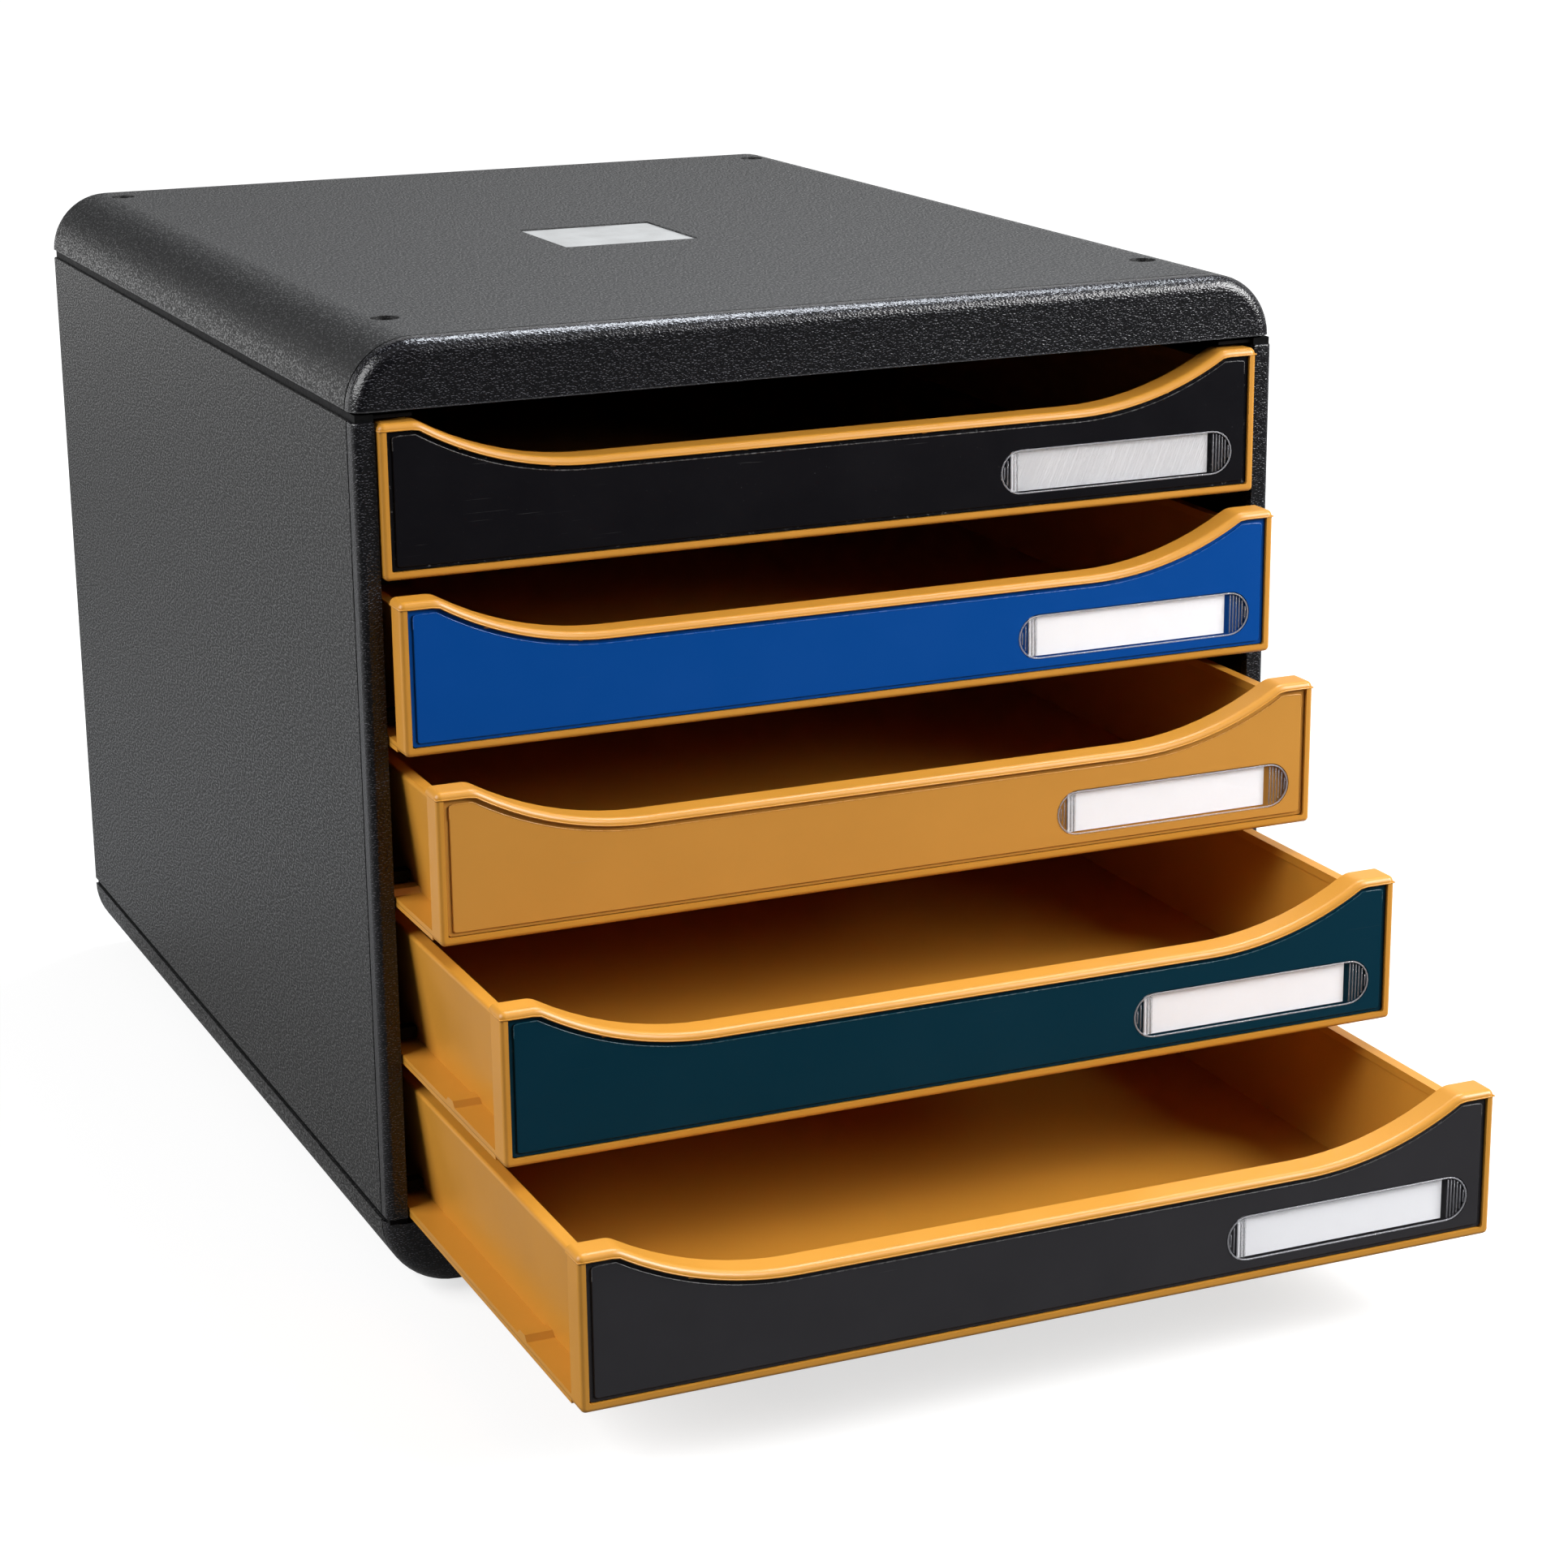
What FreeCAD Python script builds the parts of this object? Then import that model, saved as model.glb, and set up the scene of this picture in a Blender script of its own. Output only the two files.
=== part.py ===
import FreeCAD, Part
import math
import os

# Desktop module of five shallow drawers in a casing with rounded long edges.
# Millimetres. X runs to the right, Y runs back into the casing, Z runs up.
# The origin is the middle of the plinth under the casing, on the plane it stands on.

V = FreeCAD.Vector

# Casing, outside
CASE_WIDTH = 278.0
CASE_DEPTH = 347.0
CASE_HEIGHT = 271.0
EDGE_RADIUS = 19.0
BASE_EDGE_RADIUS = 21.0
COVER_HEIGHT = 18.3
BASE_HEIGHT = 23.4
SHELL_WALL = 2.4
COVER_FRONT_RADIUS = 4.3
BASE_FRONT_RADIUS = 6.0

# Low plinth under the sole, which the casing stands on
PLINTH_HEIGHT = 2.2
PLINTH_SIDE_MARGIN = 34.0
PLINTH_END_MARGIN = 16.0
PLINTH_RADIUS = 12.0

# Narrow slots between the side panels, the cover and the base
COVER_SLOT = 2.6
BASE_SLOT = 1.5
SLOT_INSET = 0.8
SLOT_CORE_INSET = 2.4
SLOT_CORE_HEIGHT = 0.6

# Side panels: outer skin with a flange at the front
PANEL_EDGE_WIDTH = 5.9
SKIN_WALL = 3.0
FLANGE_DEPTH = 3.0
PANEL_EDGE_RADIUS = 2.2
PANEL_END_RADIUS = 0.5

# Thin groove round the casing, behind its front edge
GROOVE_WIDTH = 0.8
GROOVE_DEPTH = 0.5
GROOVE_SETBACK = 5.9
COVER_GROOVE_SETBACK = 7.2

# Runner racks: tongues into cover and base, then runner, guide rib and stop block for each drawer
TONGUE_HEIGHT = 3.0
RUNNER_SETBACK = 7.5
RUNNER_REACH = 7.6
RUNNER_THICK = 2.4
GUIDE_REACH = 4.1
GUIDE_THICK = 2.0
STOP_REACH = 7.1
STOP_HEIGHT = 3.0
STOP_LENGTH = 4.0
SHELF_REACH = 11.0
SHELF_THICK = 0.9
SHELF_SETBACK = 2.0
SHELF_SINK = 1.1

# Back panel with a shallow sunk field
BACK_WALL = 3.0
BACK_FIELD_DEPTH = 0.8
BACK_FIELD_MARGIN = 14.0
BACK_FIELD_RADIUS = 6.0

# Stacking sockets in the cover and in the sole
SOCKET_RADIUS = 4.0
SOCKET_DEPTH = 8.0
SOCKET_WALL = 2.5
SOCKET_SIDE_MARGIN = 22.0
SOCKET_FRONT_MARGIN = 38.6
SOCKET_REAR_MARGIN = 14.0

# Ribs under the cover and on the base floor
RIB_HEIGHT = 4.0
RIB_THICK = 1.6
RIBS_ALONG = 5
RIBS_ACROSS = 6

# Badge plate let into the cover, blank
BADGE_SIDE = 44.0
BADGE_THICK = 0.8
BADGE_SINK = 0.5
BADGE_X = -3.3
BADGE_SETBACK = 166.5
BADGE_RADIUS = 0.8

# Foot pads, let into the sole
PAD_RADIUS = 9.0
PAD_THICK = 1.2
PAD_SIDE_MARGIN = 47.0
PAD_END_MARGIN = 32.0

# Drawers: number, gaps round their fronts, travel, and how far each stands out as stored
DRAWER_COUNT = 5
DRAWER_GAP = 3.4
TOP_GAP = 3.05
BASE_GAP = 1.85
SIDE_GAP = 0.45
FRONT_PROUD = 2.0
TRAVEL = 235.0
PULL_1 = 0.0
PULL_2 = 11.8
PULL_3 = 36.3
PULL_4 = 82.1
PULL_5 = 134.5

# Drawer front frame: posts, bottom strip and dipped rim
POST_WIDTH = 2.2
POST_DEPTH = 7.5
BOTTOM_STRIP = 2.2
FRAME_ROUND = 1.2
FRAME_CORNER_ROUND = 1.4
RIM_HEIGHT = 2.0
RIM_DEPTH = 8.5
RIM_OVERHANG = 0.1
RIM_ROUND = 1.8
RIM_SHOULDER = 11.2
RIM_SHOULDER_ROUND = 6.0
DIP_HEIGHT = 28.6
DIP_RADIUS = 92.5
POCKET_ROUND = 0.8

# Drawer tray: leaning side walls with a bead, ledges with a detent bump and a stop lug
FRONT_WALL = 2.4
TRAY_WALL = 2.2
FLOOR_THICK = 2.4
WALL_DROP = 5.2
WALL_TOP_INSET = 3.3
BEAD_WIDTH = 4.0
BEAD_HEIGHT = 2.4
BEAD_ROUND = 0.9
LEDGE_WIDTH = 8.1
LEDGE_THICK = 2.6
BUMP_SETBACK = 40.0
BUMP_LENGTH = 7.0
BUMP_HEIGHT = 1.5
LUG_LENGTH = 4.0
LUG_HEIGHT = 4.6
LUG_REACH = 4.4

# Front insert with a raised field
INSERT_THICK = 2.4
INSERT_SETBACK = 0.9
FIELD_RISE = 0.4
FIELD_SIDE_MARGIN = 1.5
FIELD_TOP_MARGIN = 1.4
FIELD_BOTTOM_MARGIN = 1.2
FIELD_ROUND = 1.0
FIELD_EDGE_ROUND = 0.25

# Label window: recess, card and clear cover with grip ribs at its ends
WINDOW_LENGTH = 75.5
WINDOW_HEIGHT = 13.3
WINDOW_SIDE_MARGIN = 5.0
WINDOW_LIFT = 12.45
WINDOW_DEPTH = 1.5
CARD_LEFT_MARGIN = 4.0
CARD_RIGHT_MARGIN = 7.7
CARD_EDGE_MARGIN = 0.85
CARD_THICK = 0.3
GRIP_PITCH = 1.15
GRIP_WIDTH = 0.55
GRIP_RISE = 0.25
GRIP_INSET = 0.9
LEFT_GRIPS = 3
RIGHT_GRIPS = 5
NOTCH_RADIUS = 0.9

# Clearances, and one overrun for all cuts
PLATE_FIT = 0.1
RUN_FIT = 0.15
INSERT_FIT = 0.3
COVER_FIT = 0.15
COVER_EDGE_ROUND = 0.3
TONGUE_FIT = 0.3
GUIDE_FIT = 0.5
STOP_FIT = 0.6
REAR_FIT = 1.0
OVERRUN = 20.0

# Places that follow from the sizes above: the casing
HALF_WIDTH = CASE_WIDTH / 2
FRONT_Y = -CASE_DEPTH / 2
REAR_Y = CASE_DEPTH / 2
COVER_Z = CASE_HEIGHT - COVER_HEIGHT
PANEL_TOP = COVER_Z - COVER_SLOT
PANEL_BOTTOM = BASE_HEIGHT + BASE_SLOT
OPENING_HALF = HALF_WIDTH - PANEL_EDGE_WIDTH
RACK_OUTER = HALF_WIDTH - SKIN_WALL
BADGE_SEAT = CASE_HEIGHT - BADGE_SINK - BADGE_THICK

# The drawers, each from its own front plane and underside
LOWEST_DRAWER = BASE_HEIGHT + BASE_GAP
DRAWER_PITCH = (COVER_Z - TOP_GAP + DRAWER_GAP - LOWEST_DRAWER) / DRAWER_COUNT
FRONT_HEIGHT = DRAWER_PITCH - DRAWER_GAP
FRONT_HALF = OPENING_HALF - SIDE_GAP
POST_HALF = FRONT_HALF - RIM_OVERHANG
POCKET_HALF = FRONT_HALF - POST_WIDTH
SHOULDER = FRONT_HEIGHT - RIM_HEIGHT
DIP_DEPTH = FRONT_HEIGHT - DIP_HEIGHT
DIP_FLAT_HALF = FRONT_HALF - RIM_SHOULDER - math.sqrt(DIP_RADIUS ** 2 - (DIP_RADIUS - DIP_DEPTH) ** 2)
POCKET_END = INSERT_SETBACK + INSERT_THICK
TRAY_START = POCKET_END + FRONT_WALL
TRAY_END = CASE_DEPTH - BACK_WALL + FRONT_PROUD - REAR_FIT
WALL_HEIGHT = FRONT_HEIGHT - WALL_DROP
WALL_FOOT = POST_HALF - LEDGE_WIDTH
WALL_TOP = POST_HALF - WALL_TOP_INSET
BEAD_Z = WALL_HEIGHT - BEAD_HEIGHT
FIELD_Y = INSERT_SETBACK - FIELD_RISE
WINDOW_X = POCKET_HALF - WINDOW_SIDE_MARGIN - WINDOW_LENGTH / 2
STORED_PULLS = [PULL_1, PULL_2, PULL_3, PULL_4, PULL_5]


def box(x0, x1, y0, y1, z0, z1):
    return Part.makeBox(x1 - x0, y1 - y0, z1 - z0, V(x0, y0, z0))


def line_xz(a, b):
    return Part.LineSegment(V(a[0], 0, a[1]), V(b[0], 0, b[1])).toShape()


def arc_xz(a, middle, b):
    return Part.Arc(V(a[0], 0, a[1]), V(middle[0], 0, middle[1]), V(b[0], 0, b[1])).toShape()


def face_xz(edges):
    return Part.Face(Part.Wire(Part.__sortEdges__(edges)))


def polygon_xz(points):
    ring = points + points[:1]
    return face_xz([line_xz(ring[i], ring[i + 1]) for i in range(len(points))])


def prism_along_y(face, y0, y1):
    """Push a face drawn in the XZ plane from y0 to y1."""
    placed = face.copy()
    placed.translate(V(0, y0, 0))
    return placed.extrude(V(0, y1 - y0, 0))


def prism_along_x(points, x0, x1):
    """Push a polygon of (y, z) points from x0 to x1."""
    ring = [V(x0, y, z) for y, z in points]
    face = Part.Face(Part.makePolygon(ring + ring[:1]))
    return face.extrude(V(x1 - x0, 0, 0))


def mirrored(shape):
    return shape.mirror(V(0, 0, 0), V(1, 0, 0))


def near(value, target):
    return abs(value - target) < 1e-4


def is_upright(edge):
    first = edge.Vertexes[0]
    return all(near(v.X, first.X) and near(v.Y, first.Y) for v in edge.Vertexes)


def is_along_y(edge):
    first = edge.Vertexes[0]
    return all(near(v.X, first.X) and near(v.Z, first.Z) for v in edge.Vertexes)


def one_solid(shape):
    return shape.removeSplitter().Solids[0]


def fuse_all(shape, pieces):
    for piece in pieces:
        shape = shape.fuse(piece)
    return shape


def casing_section(inset):
    """Rounded outline of the whole casing seen from the front, drawn inset from its outside."""
    side = HALF_WIDTH - inset
    low = PLINTH_HEIGHT + inset
    high = CASE_HEIGHT - inset
    low_radius = BASE_EDGE_RADIUS - inset
    high_radius = EDGE_RADIUS - inset
    edges = []
    for sign in (-1, 1):
        edges.append(line_xz((sign * side, low + low_radius), (sign * side, high - high_radius)))
    for z, radius, inward in ((low, low_radius, 1), (high, high_radius, -1)):
        bend = radius * (1 - math.sqrt(0.5))
        edges.append(line_xz((radius - side, z), (side - radius, z)))
        for sign in (-1, 1):
            edges.append(arc_xz((sign * (side - radius), z), (sign * (side - bend), z + inward * bend),
                                (sign * side, z + inward * radius)))
    return face_xz(edges)


def casing_slice(z0, z1, front_radius):
    """Hollow slice of the casing between two levels, with rounded front edges."""
    block = prism_along_y(casing_section(0), FRONT_Y, REAR_Y)
    front_edges = [e for e in block.Edges if all(near(v.Y, FRONT_Y) for v in e.Vertexes)]
    block = block.makeFillet(front_radius, front_edges)
    block = block.common(box(-CASE_WIDTH, CASE_WIDTH, -CASE_DEPTH, CASE_DEPTH, z0, z1))
    hollow = prism_along_y(casing_section(SHELL_WALL), FRONT_Y + SHELL_WALL, REAR_Y - SHELL_WALL)
    return block.cut(hollow)


def groove_ring(setback):
    """Ring that cuts the thin groove into the outside of the cover or the base."""
    y0 = FRONT_Y + setback - GROOVE_WIDTH / 2
    y1 = y0 + GROOVE_WIDTH
    core = prism_along_y(casing_section(GROOVE_DEPTH), y0, y1)
    return prism_along_y(casing_section(-GROOVE_DEPTH), y0, y1).cut(core)


def with_sockets(shell, mouth_z, inward):
    """Add a blind round socket at each stacking place, with its mouth at mouth_z."""
    x = HALF_WIDTH - SOCKET_SIDE_MARGIN
    rows = (FRONT_Y + SOCKET_FRONT_MARGIN, REAR_Y - SOCKET_REAR_MARGIN)
    places = [(sign * x, y) for sign in (-1, 1) for y in rows]
    boss_height = SOCKET_DEPTH + SOCKET_WALL - SHELL_WALL
    up = V(0, 0, inward)
    for x, y in places:
        start = V(x, y, mouth_z + inward * SHELL_WALL)
        shell = shell.fuse(Part.makeCylinder(SOCKET_RADIUS + SOCKET_WALL, boss_height, start, up))
    for x, y in places:
        start = V(x, y, mouth_z - inward * OVERRUN)
        shell = shell.cut(Part.makeCylinder(SOCKET_RADIUS, SOCKET_DEPTH + OVERRUN, start, up))
    return shell


def stiffening_ribs(z0, z1):
    """Grid of low ribs on the inner face of the cover or the base."""
    half = HALF_WIDTH - BASE_EDGE_RADIUS
    front = FRONT_Y + SHELL_WALL
    rear = REAR_Y - SHELL_WALL
    ribs = []
    for i in range(RIBS_ALONG):
        x = -half + 2 * half * (i + 0.5) / RIBS_ALONG
        ribs.append(box(x - RIB_THICK / 2, x + RIB_THICK / 2, front, rear, z0, z1))
    for i in range(RIBS_ACROSS):
        y = front + (rear - front) * (i + 0.5) / RIBS_ACROSS
        ribs.append(box(-half, half, y - RIB_THICK / 2, y + RIB_THICK / 2, z0, z1))
    return ribs


def badge_block(side, z0, z1):
    y = FRONT_Y + BADGE_SETBACK
    block = box(BADGE_X - side / 2, BADGE_X + side / 2, y - side / 2, y + side / 2, z0, z1)
    return block.makeFillet(BADGE_RADIUS, [e for e in block.Edges if is_upright(e)])


def make_top_cover():
    shell = casing_slice(COVER_Z, CASE_HEIGHT, COVER_FRONT_RADIUS)
    ceiling = CASE_HEIGHT - SHELL_WALL
    shell = fuse_all(shell, stiffening_ribs(ceiling - RIB_HEIGHT, ceiling))
    shell = with_sockets(shell, CASE_HEIGHT, -1)
    shell = shell.cut(groove_ring(COVER_GROOVE_SETBACK))
    return one_solid(shell.cut(badge_block(BADGE_SIDE, BADGE_SEAT, CASE_HEIGHT + OVERRUN)))


def make_badge_plate():
    return badge_block(BADGE_SIDE - 2 * PLATE_FIT, BADGE_SEAT, BADGE_SEAT + BADGE_THICK)


def pad_places():
    for row, y in (("front", FRONT_Y + PAD_END_MARGIN), ("rear", REAR_Y - PAD_END_MARGIN)):
        for side, sign in (("left", -1), ("right", 1)):
            yield "foot_pad_%s_%s" % (row, side), sign * (HALF_WIDTH - PAD_SIDE_MARGIN), y


def make_base_tray():
    """Base moulding, with the low plinth that it stands on."""
    shell = casing_slice(PLINTH_HEIGHT, BASE_HEIGHT, BASE_FRONT_RADIUS)
    floor = PLINTH_HEIGHT + SHELL_WALL
    half = HALF_WIDTH - PLINTH_SIDE_MARGIN
    plinth = box(-half, half, FRONT_Y + PLINTH_END_MARGIN, REAR_Y - PLINTH_END_MARGIN, 0, floor)
    plinth = plinth.makeFillet(PLINTH_RADIUS, [e for e in plinth.Edges if is_upright(e)])
    shell = fuse_all(shell, [plinth] + stiffening_ribs(floor, floor + RIB_HEIGHT))
    shell = with_sockets(shell, PLINTH_HEIGHT, 1)
    shell = shell.cut(groove_ring(GROOVE_SETBACK))
    for _, x, y in pad_places():
        shell = shell.cut(Part.makeCylinder(PAD_RADIUS, PAD_THICK, V(x, y, 0)))
    return one_solid(shell)


def make_foot_pad(x, y):
    return Part.makeCylinder(PAD_RADIUS - PLATE_FIT, PAD_THICK, V(x, y, 0))


def make_side_panel():
    """Right side panel: flat skin, flange at the front, rounded upright edge."""
    skin = box(RACK_OUTER, HALF_WIDTH, FRONT_Y, REAR_Y, PANEL_BOTTOM, PANEL_TOP)
    flange = box(OPENING_HALF, HALF_WIDTH, FRONT_Y, FRONT_Y + FLANGE_DEPTH, PANEL_BOTTOM, PANEL_TOP)
    panel = one_solid(skin.fuse(flange))
    corner = []
    for edge in panel.Edges:
        v = edge.Vertexes[0]
        if is_upright(edge) and near(v.X, HALF_WIDTH) and near(v.Y, FRONT_Y):
            corner.append(edge)
    panel = panel.makeFillet(PANEL_EDGE_RADIUS, corner)
    ends = []
    for edge in panel.Edges:
        level = all(near(v.Z, edge.Vertexes[0].Z) for v in edge.Vertexes)
        reach = max(v.X for v in edge.Vertexes)
        first = min(v.Y for v in edge.Vertexes)
        at_rear = all(near(v.Y, REAR_Y) for v in edge.Vertexes)
        if level and not at_rear and (near(reach, HALF_WIDTH) or near(first, FRONT_Y)):
            ends.append(edge)
    panel = panel.makeFillet(PANEL_END_RADIUS, ends)
    groove_y = FRONT_Y + GROOVE_SETBACK - GROOVE_WIDTH / 2
    groove = box(HALF_WIDTH - GROOVE_DEPTH, HALF_WIDTH + OVERRUN, groove_y, groove_y + GROOVE_WIDTH,
                 PANEL_BOTTOM - OVERRUN, PANEL_TOP + OVERRUN)
    return one_solid(panel.cut(groove))


def tongue_outer_x():
    """Outer face of a tongue, clear of the rounded walls of the cover and the base."""
    clear = HALF_WIDTH
    for radius, height in ((EDGE_RADIUS, COVER_HEIGHT), (BASE_EDGE_RADIUS, BASE_HEIGHT - PLINTH_HEIGHT)):
        rise = max(0, radius - height + TONGUE_HEIGHT)
        wall = radius - SHELL_WALL
        clear = min(clear, HALF_WIDTH - radius + math.sqrt(wall ** 2 - rise ** 2))
    return clear - TONGUE_FIT


def make_runner_rack():
    """Right runner rack: inner side with the runners, guides and stops of all drawers."""
    rack = box(OPENING_HALF, RACK_OUTER, FRONT_Y + FLANGE_DEPTH, REAR_Y, PANEL_BOTTOM, PANEL_TOP)
    bar_outer = HALF_WIDTH - SLOT_INSET
    bar_front = FRONT_Y + SLOT_INSET
    tongue_outer = tongue_outer_x()
    tongue_front = FRONT_Y + SHELL_WALL + TONGUE_FIT
    tongue_rear = REAR_Y - SHELL_WALL - TONGUE_FIT
    core_outer = HALF_WIDTH - SLOT_CORE_INSET
    core_front = FRONT_Y + SLOT_CORE_INSET
    bar_top = COVER_Z - SLOT_CORE_HEIGHT
    shelf_top = COVER_Z - SHELF_SINK
    pieces = [
        box(OPENING_HALF, bar_outer, bar_front, REAR_Y, PANEL_TOP, bar_top),
        box(OPENING_HALF, core_outer, core_front, REAR_Y, bar_top, COVER_Z),
        box(OPENING_HALF - SHELF_REACH, OPENING_HALF, FRONT_Y + SHELF_SETBACK, REAR_Y - BACK_WALL,
            shelf_top - SHELF_THICK, shelf_top),
        box(OPENING_HALF, bar_outer, bar_front, REAR_Y, BASE_HEIGHT, PANEL_BOTTOM),
        box(OPENING_HALF, tongue_outer, tongue_front, tongue_rear, COVER_Z, COVER_Z + TONGUE_HEIGHT),
        box(OPENING_HALF, tongue_outer, tongue_front, tongue_rear, BASE_HEIGHT - TONGUE_HEIGHT, BASE_HEIGHT),
    ]
    front = FRONT_Y + RUNNER_SETBACK
    rear = REAR_Y - BACK_WALL
    for i in range(DRAWER_COUNT):
        underside = LOWEST_DRAWER + i * DRAWER_PITCH
        runner = underside - RUN_FIT
        guide = underside + LEDGE_THICK + BUMP_HEIGHT + GUIDE_FIT
        pieces.append(box(OPENING_HALF - RUNNER_REACH, OPENING_HALF, front, rear,
                          runner - RUNNER_THICK, runner))
        pieces.append(box(OPENING_HALF - GUIDE_REACH, OPENING_HALF, front, rear,
                          guide, guide + GUIDE_THICK))
        pieces.append(box(OPENING_HALF - STOP_REACH, OPENING_HALF, front, front + STOP_LENGTH,
                          guide, guide + STOP_HEIGHT))
    return one_solid(fuse_all(rack, pieces))


def make_back_panel():
    panel = box(-OPENING_HALF, OPENING_HALF, REAR_Y - BACK_WALL, REAR_Y, BASE_HEIGHT, COVER_Z)
    field_half = OPENING_HALF - BACK_FIELD_MARGIN
    field = box(-field_half, field_half, REAR_Y - BACK_FIELD_DEPTH, REAR_Y + OVERRUN,
                BASE_HEIGHT + BACK_FIELD_MARGIN, COVER_Z - BACK_FIELD_MARGIN)
    field = field.makeFillet(BACK_FIELD_RADIUS, [e for e in field.Edges if is_along_y(e)])
    return one_solid(panel.cut(field))


def dip_reach(shoulder, floor, radius):
    """Half width at which the flank of the dip meets the level shoulder."""
    drop = shoulder - floor
    return DIP_FLAT_HALF + math.sqrt(radius ** 2 - (radius - drop) ** 2)


def dipped_face(half_width, bottom, shoulder, floor, radius):
    """Region of a drawer front: level shoulders and a wide dip with curved flanks."""
    reach = dip_reach(shoulder, floor, radius)
    half_turn = math.acos((radius - shoulder + floor) / radius) / 2
    knee = DIP_FLAT_HALF + radius * math.sin(half_turn)
    knee_z = floor + radius * (1 - math.cos(half_turn))
    edges = [
        line_xz((-half_width, bottom), (half_width, bottom)),
        line_xz((-DIP_FLAT_HALF, floor), (DIP_FLAT_HALF, floor)),
    ]
    for sign in (-1, 1):
        edges.append(line_xz((sign * half_width, bottom), (sign * half_width, shoulder)))
        edges.append(line_xz((sign * half_width, shoulder), (sign * reach, shoulder)))
        edges.append(arc_xz((sign * reach, shoulder), (sign * knee, knee_z), (sign * DIP_FLAT_HALF, floor)))
    return face_xz(edges)


def under_rim_face(half_width, bottom, fit=0.0):
    """Region below the rim, drawn a fit smaller than the rim's underside."""
    floor = DIP_HEIGHT - RIM_HEIGHT
    return dipped_face(half_width, bottom, SHOULDER - fit, floor - fit, DIP_RADIUS + RIM_HEIGHT + fit)


def round_along_y(block, radius, places):
    """Round the edges that run along Y through the given places, on both sides."""
    edges = []
    for edge in block.Edges:
        v = edge.Vertexes[0]
        if is_along_y(edge) and any(near(abs(v.X), x) and near(v.Z, z) for x, z in places):
            edges.append(edge)
    return block.makeFillet(radius, edges)


def make_rim():
    """Rim along the top of a drawer front, rounded at its ends and towards the front."""
    face = dipped_face(FRONT_HALF, 0, FRONT_HEIGHT, DIP_HEIGHT, DIP_RADIUS)
    block = prism_along_y(face, 0, RIM_DEPTH)
    reach = dip_reach(FRONT_HEIGHT, DIP_HEIGHT, DIP_RADIUS)
    block = round_along_y(block, RIM_SHOULDER_ROUND, [(reach, FRONT_HEIGHT)])
    block = round_along_y(block, RIM_ROUND, [(FRONT_HALF, FRONT_HEIGHT)])
    front_edges = []
    for edge in block.Edges:
        at_front = all(near(v.Y, 0) for v in edge.Vertexes)
        at_bottom = all(near(v.Z, 0) for v in edge.Vertexes)
        if at_front and not at_bottom:
            front_edges.append(edge)
    block = block.makeFillet(RIM_ROUND, front_edges)
    below = under_rim_face(FRONT_HALF + OVERRUN, -OVERRUN)
    return block.cut(prism_along_y(below, -OVERRUN, RIM_DEPTH + OVERRUN))


def make_front_frame():
    """Posts, bottom strip and front wall of a drawer, without the rim."""
    block = prism_along_y(under_rim_face(POST_HALF, 0), RIM_OVERHANG, POST_DEPTH)
    block = round_along_y(block, FRAME_CORNER_ROUND, [(POST_HALF, 0)])
    front_edges = []
    for edge in block.Edges:
        at_front = all(near(v.Y, RIM_OVERHANG) for v in edge.Vertexes)
        on_outside = all(near(abs(v.X), POST_HALF) or near(v.Z, 0) for v in edge.Vertexes)
        if at_front and on_outside:
            front_edges.append(edge)
    block = block.makeFillet(FRAME_ROUND, front_edges)
    pocket = prism_along_y(under_rim_face(POCKET_HALF, BOTTOM_STRIP), -OVERRUN, POCKET_END)
    return block.cut(round_along_y(pocket, POCKET_ROUND, [(POCKET_HALF, BOTTOM_STRIP)]))


def wall_x(height):
    """Outer face of a leaning side wall at a height above the drawer's underside."""
    return WALL_FOOT + (WALL_TOP - WALL_FOOT) * height / WALL_HEIGHT


def leaning_face(low_half, low_z, high_half, high_z):
    return polygon_xz([(-low_half, low_z), (low_half, low_z), (high_half, high_z), (-high_half, high_z)])


def side_pieces():
    """Ledge, detent bump and stop lug on the right of a drawer."""
    ledge_top = LEDGE_THICK
    bump_top = LEDGE_THICK + BUMP_HEIGHT
    bump_end = BUMP_SETBACK + BUMP_LENGTH
    bump = [(BUMP_SETBACK, ledge_top), (BUMP_SETBACK + BUMP_HEIGHT, bump_top),
            (bump_end - BUMP_HEIGHT, bump_top), (bump_end, ledge_top)]
    lug_start = TRAVEL + FRONT_PROUD + RUNNER_SETBACK + STOP_LENGTH + STOP_FIT
    lug_end = lug_start + LUG_LENGTH
    inside = WALL_FOOT - TRAY_WALL / 2
    return [
        box(inside, POST_HALF, POST_DEPTH - RIM_OVERHANG, TRAY_END, 0, ledge_top),
        prism_along_x(bump, WALL_FOOT, POST_HALF),
        box(inside, WALL_FOOT + LUG_REACH, lug_start, lug_end, ledge_top, ledge_top + LUG_HEIGHT),
    ]


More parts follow.
